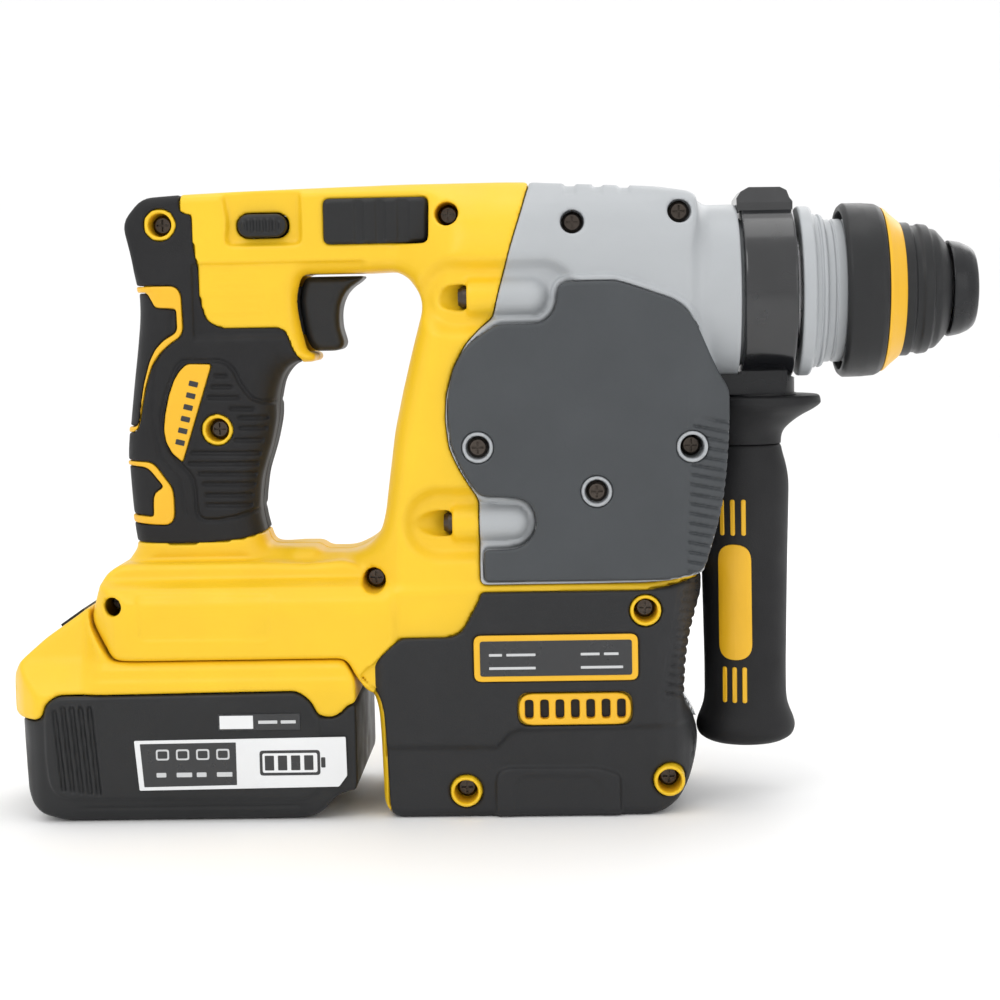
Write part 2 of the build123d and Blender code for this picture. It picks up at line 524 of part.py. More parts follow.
with BuildPart() as motor_skins:
    add(motor_skin_right.part)
    add(motor_skin_left.part)
save(motor_skins, "motor_skins")

with BuildPart() as name_plates:
    with BuildSketch(Plane.XZ.offset(HW_PAD - 0.8)):
        with Locations((-149.5, -123.9)):
            RectangleRounded(56.6, 16.2, 2.5)
    extrude(amount=1.1)
    mirror(about=Plane.XZ)
save(name_plates, "name_plates")

# louvre inserts over the motor vents, seven slots each
with BuildPart() as vent_louvres:
    with BuildSketch(Plane.XZ.offset(HW_CASE - 2.6)):
        with Locations((-143.2, -141.9)):
            RectangleRounded(36.4, 8.7, 2.9)
    extrude(amount=3.6)
    with BuildSketch(Plane.XZ.offset(HW_CASE - 1.6)):
        with Locations((-143.2, -141.9)):
            RectangleRounded(39.0, 11.2, 3.9)
    extrude(amount=2.8)
    with BuildSketch(Plane.XZ.offset(HW_CASE - 5)):
        with GridLocations(5.25, 1, 7, 1):
            with Locations((-143.2, -141.9)):
                Rectangle(2.9, 6.6)
    extrude(amount=9, mode=Mode.SUBTRACT)
    mirror(about=Plane.XZ)
save(vent_louvres, "vent_louvres")

with BuildPart() as ribbed_pad_right:
    with BuildSketch(Plane.XZ.offset(HW_ARM - 1.2)):
        with Locations((-209.6, 27.1)):
            RectangleRounded(36.6, 16.0, 1.9)
    extrude(amount=2.4)
    for rx in (-217.1, -208.0, -199.3):
        with BuildSketch(Plane.XZ.offset(HW_ARM + 0.2)):
            with Locations((rx, 27.1)):
                Rectangle(3.4, 17)
        extrude(amount=2, mode=Mode.SUBTRACT)
with BuildPart() as ribbed_pad_left:
    add(ribbed_pad_right.part)
    mirror(about=Plane.XZ, mode=Mode.REPLACE)
with BuildPart() as ribbed_pads:
    add(ribbed_pad_right.part)
    add(ribbed_pad_left.part)
save(ribbed_pads, "ribbed_pads")

# neck rings in front of the side-handle seat
with BuildPart() as neck_rings:
    with BuildSketch(Plane.XZ):
        Polygon((-62.95, NECK_BORE_R), (-62.95, 29.2), (-62.3, 29.8), (-58.9, 29.8), (-58.3, 29.2), (-58.3, 27.0), (-54.7, 27.0), (-54.1, 26.4),
                (-54.1, 25.1), (-44.6, 25.1), (-44.1, 24.6), (-44.1, NECK_BORE_R), align=None)
    revolve(axis=Axis.X, revolution_arc=360)
save(neck_rings, "neck_rings")

# ------------------------------------------------------------ chuck and spindle (all turn together)
def ring_profile(x0, x1, r0, r1):
    return [(x0, r0), (x0, r1), (x1, r1), (x1, r0)]


with BuildPart() as spindle:
    with BuildSketch(Plane.XZ):
        Polygon((CYL_X0, 13.2), (CYL_X0, CYL_R), (-72, CYL_R), (-72, 13.6), (-64.0, 13.6), (-64.0, 12.5), (-49.0, 12.5), (-49.0, 12.3),
                (-9.0, 12.3), (-9.0, 8.2), (-0.5, 8.2), (0, 7.7), (0, BORE_R), (-BORE_LEN, BORE_R), (-BORE_LEN, 7.0), (-76, 7.0),
                (-76, CYL_BORE), (-137, CYL_BORE), (-144, 13.0), (CYL_X0, 13.2), align=None)
    revolve(axis=Axis.X, revolution_arc=360)
    # pockets for the locking balls, and vent holes in the cylinder
    with BuildSketch(Plane.XY):
        with Locations((-24.0, 0)):
            Circle(1.7)
    extrude(amount=20, both=True, mode=Mode.SUBTRACT)
    for side in (1, -1):
        with BuildSketch(Plane.XY.offset(side * 5.8)):
            with Locations((-24.0, 0)):
                Circle(3.3)
        extrude(amount=side * 10, mode=Mode.SUBTRACT)
    with BuildSketch(Plane.XZ):
        with Locations((-90.0, 0), (-100.0, 0)):
            Circle(1.5)
    extrude(amount=20, both=True, mode=Mode.SUBTRACT)
save(spindle, "spindle")

with BuildPart() as locking_balls:
    with Locations((-24.0, 0, 8.6), (-24.0, 0, -8.6)):
        Sphere(3.2)
save(locking_balls, "locking_balls")

with BuildPart() as locking_sleeve:
    with BuildSketch(Plane.XZ):
        Polygon((-48.0, 27.8), (-48.0, 29.2), (-46.6, 30.6), (-36, 30.2), (-33.2, 28.6), (-33.2, 23.0), (-27.0, 23.0),
                (-27.0, 23.5), (-23.4, 23.5), (-22.2, 22.4), (-19.4, 22.3), (-17.6, 21.6), (-15.6, 21.6), (-13.4, 19.6), (-11.0, 17.4), (-10.0, 15.0), (-10.0, 12.4),
                (-20.0, 12.4), (-20.0, 14.6), (-28.0, 14.6), (-28.0, 12.4), (-31.0, 12.4), (-31.0, 20.4), (-35.2, 20.4), (-35.6, 25.8), (-43.4, 26.8), (-45.0, 27.8), align=None)
    revolve(axis=Axis.X, revolution_arc=360)
save(locking_sleeve, "locking_sleeve")

with BuildPart() as sleeve_ring:
    with BuildSketch(Plane.XZ):
        Polygon((-33.2, 23.02), (-33.2, 28.5), (-32.6, 28.2), (-27.6, 24.2), (-27.05, 23.55), (-27.05, 23.02), align=None)
    revolve(axis=Axis.X, revolution_arc=360)
save(sleeve_ring, "sleeve_ring")

with BuildPart() as nose_cap:
    with BuildSketch(Plane.XZ):
        Polygon((-9.7, 16.6), (-8.6, 16.8), (-2.6, 14.7), (-0.7, 13.4), (-0.4, 12.0), (-0.4, 8.6), (-1.4, 8.25), (-8.95, 8.25), (-8.95, 12.3), (-9.7, 12.3), align=None)
    revolve(axis=Axis.X, revolution_arc=360)
save(nose_cap, "nose_cap")

with BuildPart() as chuck_spring:
    with BuildLine():
        chuck_helix = Helix(pitch=2.6, height=8.6, radius=16.4, center=(-41.1, 0, 0), direction=(1, 0, 0))
    with BuildSketch(Plane(origin=chuck_helix @ 0, z_dir=chuck_helix % 0)):
        Circle(0.9)
    sweep(path=chuck_helix, is_frenet=True)
save(chuck_spring, "chuck_spring")

with BuildPart() as front_seal:
    with BuildSketch(Plane.XZ):
        Polygon((-52.0, 12.6), (-52.0, NECK_BORE_R - 0.02), (-47.0, NECK_BORE_R - 0.02), (-47.0, 18.4), (-50.4, 18.0), (-50.4, 14.0), (-48.2, 12.6), align=None)
    revolve(axis=Axis.X, revolution_arc=360)
save(front_seal, "front_seal")

# hammer line
with BuildPart() as piston:
    with BuildSketch(Plane.YZ.offset(WRIST_X - 8)):
        Circle(CYL_BORE - FIT)
    extrude(amount=16)
    with BuildSketch(Plane.XY):
        Polygon((WRIST_X - 9, -8.6), (WRIST_X - 3, -7.4), (WRIST_X + 5.0, -5.4), (WRIST_X + 5.0, 5.4), (WRIST_X - 3, 7.4), (WRIST_X - 9, 8.6), align=None)
    extrude(amount=4.3, both=True, mode=Mode.SUBTRACT)
    with BuildSketch(Plane.XY):
        with Locations((WRIST_X, 0)):
            Circle(2.5)
    extrude(amount=12, both=True, mode=Mode.SUBTRACT)
    with BuildSketch(Plane.XZ):
        Polygon(*ring_profile(WRIST_X + 5.6, WRIST_X + 7.2, 9.4, 12), align=None)
    revolve(axis=Axis.X, revolution_arc=360, mode=Mode.SUBTRACT)
save(piston, "piston")

with BuildPart() as wrist_pin:
    with BuildSketch(Plane.XY.offset(-9.2)):
        with Locations((WRIST_X, 0)):
            Circle(2.49)
    extrude(amount=18.4)
save(wrist_pin, "wrist_pin")

with BuildPart() as con_rod:
    with BuildSketch(Plane.XY):
        with Locations((CRANK_X + CRANK_THROW, 0)):
            Circle(6.4)
        with Locations((WRIST_X, 0)):
            Circle(4.6)
        Polygon((CRANK_X + CRANK_THROW, -3.2), (WRIST_X, -3.0), (WRIST_X, 3.0), (CRANK_X + CRANK_THROW, 3.2), align=None)
    extrude(amount=4.0, both=True)
    with BuildSketch(Plane.XY):
        with Locations((CRANK_X + CRANK_THROW, 0)):
            Circle(3.5)
        with Locations((WRIST_X, 0)):
            Circle(2.49 + FIT)
    extrude(amount=5, both=True, mode=Mode.SUBTRACT)
save(con_rod, "con_rod")

with BuildPart() as crank_pin:
    with BuildSketch(Plane.XY.offset(-7.7)):
        with Locations((CRANK_X + CRANK_THROW, 0)):
            Circle(3.49)
    extrude(amount=12.2)
save(crank_pin, "crank_pin")

with BuildPart() as striker:
    with BuildSketch(Plane.XZ):
        Polygon((-114, 0), (-114, 9.6), (-113, CYL_BORE - FIT), (-108.6, CYL_BORE - FIT), (-108.6, 9.5), (-106.8, 9.5), (-106.8, CYL_BORE - FIT), (-97, CYL_BORE - FIT), (-96, 9.6), (-96, 6.2), (-91, 6.2), (-90, 5.4), (-90, 0), align=None)
    revolve(axis=Axis.X, revolution_arc=360)
save(striker, "striker")

with BuildPart() as beat_piece:
    with BuildSketch(Plane.XZ):
        Polygon((-82, 0), (-82, 6.0), (-81, 8.6), (-77.2, 8.6), (-76.2, 7.0 - FIT), (-51.5, 7.0 - FIT), (-49.6, 5.0), (-49.6, 0), align=None)
    revolve(axis=Axis.X, revolution_arc=360)
save(beat_piece, "beat_piece")

# ------------------------------------------------------------ gears
def gear_points(cx, cy, teeth, module, phase, thick=0.36, add_f=0.8, ded_f=1.05):
    pts = []
    rp = module * teeth / 2
    step = 2 * pi / teeth
    for k in range(teeth):
        a = phase + k * step
        for da, r in ((-0.5 * thick * 1.35, rp - ded_f * module), (-0.5 * thick * 0.62, rp + add_f * module),
                      (0.5 * thick * 0.62, rp + add_f * module), (0.5 * thick * 1.35, rp - ded_f * module)):
            pts.append((cx + r * cos(a + da * step), cy + r * sin(a + da * step)))
    return pts


BIG_T, PIN_T = 33, 7
with BuildPart() as motor_shaft:
    with BuildSketch(Plane.XY.offset(-70)):
        Polygon(*gear_points(MOTOR_X, 0, PIN_T, 1.0, pi), align=None)
    extrude(amount=20)
    with BuildSketch(Plane.XY.offset(-175)):
        with Locations((MOTOR_X, 0)):
            Circle(3.0)
    extrude(amount=105)
save(motor_shaft, "motor_shaft")

with BuildPart() as crank:
    with BuildSketch(Plane.XY.offset(-59)):
        Polygon(*gear_points(CRANK_X, 0, BIG_T, 1.0, pi / BIG_T), align=None)
    extrude(amount=8)
    with BuildSketch(Plane.XY.offset(-79.5)):
        with Locations((CRANK_X, 0)):
            Circle(5.0)
    extrude(amount=66)
    with BuildSketch(Plane.XY.offset(-14)):
        with Locations((CRANK_X, 0)):
            Circle(11.8)
    extrude(amount=6.0)
    with BuildSketch(Plane.XY.offset(-51)):
        with Locations((CRANK_X, 0)):
            Circle(8.0)
    extrude(amount=4)
save(crank, "crank")

# bevel drive: eight-tooth pinion on the intermediate shaft, 22-tooth ring on the spindle
APEX = Vector(CLUTCH_X, 0, 0)
SMALL = 0.72


def pitch_plane(f):
    """Plane across the pitch line at the mesh point, scaled towards the apex."""
    point = Vector(CLUTCH_X + 8 * f, 0, -22 * f)
    return Plane(origin=point, x_dir=(0, 1, 0), z_dir=APEX - point)


with BuildPart() as bevel_pinion_tooth:
    for f in (1.0, SMALL):
        with BuildSketch(pitch_plane(f)):
            Polygon((-1.25 * f, 2.6 * f), (-0.7 * f, -1.3 * f), (0.7 * f, -1.3 * f), (1.25 * f, 2.6 * f), align=None)
    loft(ruled=True)
with BuildPart() as bevel_ring_tooth:
    for f in (1.0, SMALL):
        with BuildSketch(pitch_plane(f)):
            Polygon((-1.25 * f, -2.6 * f), (1.25 * f, -2.6 * f), (0.7 * f, 1.3 * f), (-0.7 * f, 1.3 * f), align=None)
    loft(ruled=True)

with BuildPart() as clutch_shaft:
    with BuildSketch(Plane.XY.offset(-66)):
        Polygon(*gear_points(CLUTCH_X, 0, BIG_T, 1.0, pi), align=None)
    extrude(amount=8)
    with BuildSketch(Plane.XY.offset(-79.5)):
        with Locations((CLUTCH_X, 0)):
            Circle(4.0)
    extrude(amount=60)
    with BuildSketch(Plane.XY.offset(-58)):
        with Locations((CLUTCH_X, 0)):
            Circle(10.0)
    extrude(amount=16)
    with BuildSketch(Plane.XZ):
        Polygon((CLUTCH_X, -27), (CLUTCH_X + 5.4, -27), (CLUTCH_X + 5.8, -22.4), (CLUTCH_X + 4.0, -15.8), (CLUTCH_X, -15.8), align=None)
    revolve(axis=Axis((CLUTCH_X, 0, 0), (0, 0, 1)), revolution_arc=360)
    for k in range(8):
        add(bevel_pinion_tooth.part.rotate(Axis((CLUTCH_X, 0, 0), (0, 0, 1)), k * 45))
save(clutch_shaft, "clutch_shaft")

with BuildPart() as ring_gear:
    with BuildSketch(Plane.XZ):
        Polygon((-113.7, 15.3), (-110.8, 21.2), (-110.0, 23.3), (-106.5, 23.3), (-106.5, CYL_R + 0.02), (-113.7, CYL_R + 0.02), align=None)
    revolve(axis=Axis.X, revolution_arc=360)
    for k in range(22):
        add(bevel_ring_tooth.part.rotate(Axis.X, (k + 0.5) * 360 / 22))
save(ring_gear, "ring_gear")

# ------------------------------------------------------------ gear frame and bearings
with BuildPart() as gear_frame:
    with BuildSketch(Plane.XZ):
        Polygon((-171.6, -80), (-103.6, -80), (-103.6, -73.5), (-108, -73.5), (-108, -32), (-178.6, -32), (-178.6, -59.6), (-174.8, -66.2), (-171.6, -71.5), align=None)
    extrude(amount=30.4, both=True)
    # clear of the lower screw towers
    with BuildSketch(Plane.YZ.offset(-182)):
        with Locations((-TOWER_Y, -77.5), (TOWER_Y, -77.5)):
            Rectangle(15.4, 15.4)
    extrude(amount=24.6, mode=Mode.SUBTRACT)
    with BuildSketch(Plane.XZ):
        Polygon((-182, -73.5), (-100, -73.5), (-100, -38), (-182, -38), align=None)
    extrude(amount=24, both=True, mode=Mode.SUBTRACT)
    with BuildSketch(Plane.YZ.offset(-140)):
        Circle(20.4)
        with Locations((0, -16)):
            Rectangle(40.8, 32)
    extrude(amount=7)
    with BuildSketch(Plane.YZ.offset(-141)):
        Circle(19.0)
    extrude(amount=9, mode=Mode.SUBTRACT)
    with BuildSketch(Plane.XY.offset(-81)):
        with Locations((CRANK_X, 0)):
            Circle(11.02)
        with Locations((MOTOR_X, 0)):
            Circle(8.02)
        with Locations((CLUTCH_X, 0)):
            Circle(10.02)
    extrude(amount=9, mode=Mode.SUBTRACT)
    with BuildSketch(Plane.XY.offset(-39)):
        with Locations((CRANK_X, 0)):
            Circle(5.0 + FIT)
        with Locations((CLUTCH_X, 0)):
            Circle(4.0 + FIT)
    extrude(amount=9, mode=Mode.SUBTRACT)
    with BuildSketch(Plane.XZ.offset(-40)):
        with Locations(*SCREWS_FRAME):
            Circle(2.0)
    extrude(amount=80, mode=Mode.SUBTRACT)
save(gear_frame, "gear_frame")


def bearing(cx, z0, z1, r_in, r_out):
    """Deep-groove ball bearing on a vertical shaft, as one block of rings and balls."""
    w = (r_out - r_in)
    mid = (r_in + r_out) / 2
    zc = (z0 + z1) / 2
    with BuildPart() as b:
        with BuildSketch(Plane.XZ):
            Polygon((r_in, z0), (r_in, z1), (r_in + w * 0.3, z1), (r_in + w * 0.3, z0), align=None)
            Polygon((r_out - w * 0.3, z0), (r_out - w * 0.3, z1), (r_out, z1), (r_out, z0), align=None)
            Polygon((mid - w * 0.22, z0 + 0.8), (mid - w * 0.22, z1 - 0.8), (mid + w * 0.22, z1 - 0.8), (mid + w * 0.22, z0 + 0.8), align=None)
        revolve(axis=Axis.Z, revolution_arc=360)
    return b.part.moved(Location((cx, 0, 0)))


with BuildPart() as bearings:
    add(bearing(MOTOR_X, -176.4, -170.0, 3.0 + FIT, 10.0))
    add(bearing(MOTOR_X, -79.9, -74.0, 3.0 + FIT, 8.0))
    add(bearing(CRANK_X, -79.9, -74.0, 5.0 + FIT, 11.0))
    add(bearing(CLUTCH_X, -79.9, -74.0, 4.0 + FIT, 10.0))
    # the two bearings of the spindle
    with BuildSketch(Plane.XZ):
        Polygon(*ring_profile(-63.6, -56.0, 12.5 + FIT, 15.2), align=None)
        Polygon(*ring_profile(-63.6, -56.0, 17.4, NECK_BORE_R - 0.02), align=None)
        Polygon(*ring_profile(-60.6, -59.0, 15.2, 17.4), align=None)
        Polygon(*ring_profile(-140.0, -133.0, CYL_R + FIT, 18.98), align=None)
    revolve(axis=Axis.X, revolution_arc=360)
save(bearings, "bearings")

# ------------------------------------------------------------ motor
with BuildPart() as motor_stator:
    with BuildSketch(Plane.XY.offset(-162)):
        with Locations((MOTOR_X, 0)):
            Circle(26.0)
            Circle(16.2, mode=Mode.SUBTRACT)
    extrude(amount=36)
    with BuildSketch(Plane.XY.offset(-165)):
        for k in range(6):
            with Locations((MOTOR_X + 20.4 * cos(radians(60 * k)), 20.4 * sin(radians(60 * k)))):
                RectangleRounded(6.0, 14.0, 2.0, rotation=60 * k)
    extrude(amount=42)
save(motor_stator, "motor_stator")

with BuildPart() as motor_rotor:
    with BuildSketch(Plane.XY.offset(-161)):
        with Locations((MOTOR_X, 0)):
            Circle(15.7)
            Circle(3.02, mode=Mode.SUBTRACT)
    extrude(amount=34)
save(motor_rotor, "motor_rotor")

with BuildPart() as motor_fan:
    with BuildSketch(Plane.XY.offset(-121)):
        with Locations((MOTOR_X, 0)):
            Circle(23.0)
            Circle(3.02, mode=Mode.SUBTRACT)
    extrude(amount=1.6)
    with BuildSketch(Plane.XY.offset(-121)):
        with Locations((MOTOR_X, 0)):
            Circle(6.0)
            Circle(3.02, mode=Mode.SUBTRACT)
    extrude(amount=9)
    with BuildSketch(Plane.XY.offset(-119.4)):
        for k in range(11):
            a = radians(360 / 11 * k)
            with Locations((MOTOR_X + 15.5 * cos(a), 15.5 * sin(a))):
                Rectangle(12.5, 1.4, rotation=360 / 11 * k + 22)
    extrude(amount=7.0)
save(motor_fan, "motor_fan")

with BuildPart() as controller_board:
    with BuildSketch(Plane.YZ.offset(-196)):
        with Locations((0, -145)):
            Rectangle(46, 52)
    extrude(amount=1.6)
    with BuildSketch(Plane.YZ.offset(-194.4)):
        for yy in (-14, 0, 14):
            for zz in (-160, -146):
                with Locations((yy, zz)):
                    Rectangle(9, 10)
    extrude(amount=4.4)
    with BuildSketch(Plane.YZ.offset(-194.4)):
        for yy in (-12, 12):
            with Locations((yy, -128)):
                Circle(4.0)
    extrude(amount=11)
save(controller_board, "controller_board")

# ------------------------------------------------------------ trigger, switch, direction button, mode knob, lamp
with BuildPart() as trigger:
    with BuildSketch(Plane.XZ):
        Polygon((-214.8, 8.4), (-216.4, 6.6), (-219.8, 4.4), (-222.1, 1.9), (-223.6, -1.8), (-224.1, -5.3), (-223.9, -9.9), (-222.8, -13.4),
                (-222.4, -15.4), (-223.4, -17.3), (-225.9, -17.9), (-233.2, -17.9), (-235.6, -14.6), (-237.0, -8), (-238.0, 0), (-237.0, 5.5), (-235.4, 8.4), align=None)
    extrude(amount=9.6, both=True)
    with BuildSketch(Plane.XZ):
        Polygon((-237.2, -12), (-246, -12), (-246, 5), (-236.8, 5), align=None)
    extrude(amount=7.0, both=True)
save(trigger, "trigger")
with BuildPart() as trigger_switch:
    with BuildSketch(Plane.XZ):
        Polygon((-276, -18), (-253.8, -18), (-253.8, 10), (-268, 14), (-276, 14), align=None)
    extrude(amount=10.5, both=True)
    with BuildSketch(Plane.XZ):
        Polygon((-272, 14), (-262, 14), (-262, 19), (-272, 19), align=None)
    extrude(amount=5, both=True)
save(trigger_switch, "trigger_switch")
with BuildPart() as trigger_spring:
    with BuildLine():
        trig_helix = Helix(pitch=1.6, height=6.2, radius=3.4, center=(-253.1, 0, -3), direction=(1, 0, 0))
    with BuildSketch(Plane(origin=trig_helix @ 0, z_dir=trig_helix % 0)):
        Circle(0.45)
    sweep(path=trig_helix, is_frenet=True)
save(trigger_spring, "trigger_spring")
with BuildPart() as direction_button:
    with BuildSketch(Plane.XZ):
        with Locations((-249.2, 26.2)):
            SlotOverall(17.6, 8.0)
    extrude(amount=18.4, both=True)
    with BuildSketch(Plane.XZ):
        with Locations((-249.2, 26.2)):
            SlotOverall(13.6, 4.4)
    extrude(amount=19.2, both=True)
save(direction_button, "direction_button")
with BuildPart() as mode_knob:
    with BuildSketch(Plane.XZ.offset(-HW_CASE - 0.4)):
        with Locations((KNOB_X, KNOB_Z)):
            Circle(15.0)
    extrude(amount=-2.6)
    with BuildSketch(Plane.XZ.offset(-HW_CASE - 3.0)):
        with Locations((KNOB_X, KNOB_Z)):
            SlotOverall(27.6, 9.6, rotation=90)
            Circle(9.5)
    extrude(amount=-5.0)
    with BuildSketch(Plane.XZ.offset(-30)):
        with Locations((KNOB_X, KNOB_Z)):
            Circle(4.5)
    extrude(amount=-5.2)
save(mode_knob, "mode_knob")
with BuildPart() as led_lens:
    with BuildSketch(Plane.XZ):
        Polygon((-107.8, -141.7), (-104.7, -141.7), (-102.4, -145.3), (-99.9, -150.3), (-107.8, -150.3), align=None)
    extrude(amount=7.0, both=True)
save(led_lens, "led_lens")
with BuildPart() as terminal_block:
    with BuildSketch(Plane.XZ):
        Polygon((-262.5, -119.6), (-240.0, -119.6), (-240.0, -113.5), (-262.5, -113.5), align=None)
    extrude(amount=20, both=True)
    with BuildSketch(Plane.XY.offset(-118.6)):
        with Locations(*[(-266.6, y) for y in (-12, -6, 0, 6, 12)]):
            Rectangle(8.2, 0.8)
    extrude(amount=3.8)
save(terminal_block, "terminal_block")

# ------------------------------------------------------------ fasteners
def screw(x, z, y_head, y_tip, head_r=3.6, head_h=2.6, r=1.9):
    """Pan-head cross-recess screw along Y, head on the -Y side."""
    s = 1 if y_tip > y_head else -1
    with BuildPart() as b:
        with BuildSketch(Plane.XY):
            Polygon((0, 0), (head_r, 0), (head_r, head_h * 0.45), (head_r * 0.72, head_h), (0, head_h), align=None)
            Polygon((0, 0.0), (r, 0.0), (r, -abs(y_tip - y_head) + 1.2), (0.3, -abs(y_tip - y_head)), (0, -abs(y_tip - y_head)), align=None)
        revolve(axis=Axis.Y, revolution_arc=360)
        with BuildSketch(Plane.XZ.offset(-head_h - 0.1)):
            Rectangle(head_r * 1.15, 0.75)
            Rectangle(0.75, head_r * 1.15)
        extrude(amount=1.5, mode=Mode.SUBTRACT)
    part = b.part
    if s > 0:
        part = part.rotate(Axis.Z, 180)
    return part.moved(Location((x, y_head, z)))


with BuildPart() as casing_screws:
    for sx, sz in SCREWS_HANDLE:
        add(screw(sx, sz, -8.5, 7.5))
    add(screw(-212.1, -97.1, -17.0, 7.5))
    add(screw(-303.0, -104.6, -17.0, 7.5, head_r=2.9))
    for sx, sz in SCREWS_MOTOR:
        add(screw(sx, sz, -25.5, 7.5))
    add(screw(-141.6, 25.0, -20.0, 7.5))
    add(screw(-105.0, 28.0, -20.0, 7.5))
    add(screw(-101.9, -52.0, -24.0, 7.5))
    for sx, sz in SCREWS_FRAME:
        add(screw(sx, sz, -31.8, -25.0))
        add(screw(sx, sz, 31.8, 25.0))
save(casing_screws, "casing_screws")
with BuildPart() as tower_screws:
    for tz, tx0, tx1 in TOWERS:
        for ty in (-TOWER_Y, TOWER_Y):
            base = screw(0, 0, 0, 22, head_r=3.9, head_h=3.0, r=2.0).rotate(Axis.Z, -90)
            add(base.moved(Location((tx0, ty, tz))))
save(tower_screws, "tower_screws")

# ------------------------------------------------------------ side handle
with BuildPart() as clamp_band:
    with BuildSketch(Plane.XZ):
        Polygon((BAND_X0, NECK_R + 0.3), (BAND_X0, BAND_R - 0.5), (BAND_X0 + 0.5, BAND_R), (BAND_X1 - 0.5, BAND_R), (BAND_X1, BAND_R - 0.5), (BAND_X1, NECK_R + 0.3), align=None)
    revolve(axis=Axis.X, revolution_arc=360)
save(clamp_band, "clamp_band")
with BuildPart() as clamp_saddle:
    with BuildSketch(Plane.XZ):
        Polygon((-84.2, 27), (-84.2, 32.6), (-82.5, 35.0), (-79.7, 36.5), (-68.8, 36.4), (-66.6, 35.2), (-65.8, 32.6), (-64.8, 31.2), (-64.8, 27), align=None)
    extrude(amount=11, both=True)
    with BuildSketch(Plane.YZ.offset(-90)):
        Polygon((-11, 25), (-11, 31), (-7.5, 36.6), (7.5, 36.6), (11, 31), (11, 25), align=None)
    extrude(amount=30, mode=Mode.INTERSECT)
    with BuildSketch(Plane.YZ.offset(-90)):
        Circle(BAND_R + 0.02)
    extrude(amount=30, mode=Mode.SUBTRACT)
save(clamp_saddle, "clamp_saddle")
with BuildPart() as clamp_base:
    with BuildSketch(Plane.XZ):
        Polygon((-93, -24), (-93, -33.5), (-91, -35.6), (-88, -35.6), (-85.0, -35.6), (-83.1, -35.6), (-67.9, -35.6), (-67.2, -31.4), (-67.2, -24), align=None)
    extrude(amount=13, both=True)
    with BuildSketch(Plane.XY.offset(-35.6)):
        with Locations((-75.4, 0)):
            Circle(12.0)
    extrude(amount=11)
    with BuildSketch(Plane.YZ.offset(-94)):
        Circle(BAND_R + 0.02)
    extrude(amount=40, mode=Mode.SUBTRACT)
    with BuildSketch(Plane.YZ.offset(-94)):
        Polygon((-20, -20), (-20, -26), (20, -26), (20, -20), align=None)
    extrude(amount=40, mode=Mode.SUBTRACT)
    with BuildSketch(Plane.YZ.offset(-94)):
        Circle(31.3)
    extrude(amount=10.5, mode=Mode.SUBTRACT)
    with BuildSketch(Plane.XY.offset(-40)):
        with Locations((GRIP_X, 0)):
            Circle(4.05)
    extrude(amount=12, mode=Mode.SUBTRACT)
save(clamp_base, "clamp_base")
with BuildPart() as handle_bolt:
    with BuildSketch(Plane.XY.offset(-78)):
        with Locations((GRIP_X, 0)):
            Circle(4.0)
    extrude(amount=46)
    with BuildSketch(Plane.XY.offset(-51.0)):
        with Locations((GRIP_X, 0)):
            RegularPolygon(6.2, 6)
    extrude(amount=3.4)
save(handle_bolt, "handle_bolt")
with BuildPart() as grip_washer:
    with BuildSketch(Plane.XY.offset(-36.3)):
        with Locations((-78.0, 0)):
            Circle(15.2)
        with Locations((GRIP_X, 0)):
            Circle(4.1, mode=Mode.SUBTRACT)
    extrude(amount=0.68)
save(grip_washer, "grip_washer")
with BuildPart() as hand_guard:
    with BuildSketch(Plane.XY.offset(-36.32)):
        with Locations((-76.5, 0)):
            Circle(21.6)
    with BuildSketch(Plane.XY.offset(-39.6)):
        with Locations((-76.5, 0)):
            Circle(21.8)
    loft(ruled=True)
    with BuildSketch(Plane.XY.offset(-39.6)):
        with Locations((-76.5, 0)):
            Circle(21.8)
    with BuildSketch(Plane.XY.offset(-44.2)):
        with Locations((-79.4, 0)):
            Circle(17.2)
    with BuildSketch(Plane.XY.offset(-49.0)):
        with Locations((-81.8, 0)):
            Circle(13.6)
    with BuildSketch(Plane.XY.offset(-53.4)):
        with Locations((GRIP_X, 0)):
            Circle(13.3)
    loft(ruled=True)
    with BuildSketch(Plane.XY.offset(-60)):
        with Locations((GRIP_X, 0)):
            Circle(4.1)
    extrude(amount=30, mode=Mode.SUBTRACT)
    with BuildSketch(Plane.XY.offset(-54)):
        with Locations((GRIP_X, 0)):
            RegularPolygon(6.4, 6)
    extrude(amount=6.6, mode=Mode.SUBTRACT)
save(hand_guard, "hand_guard")
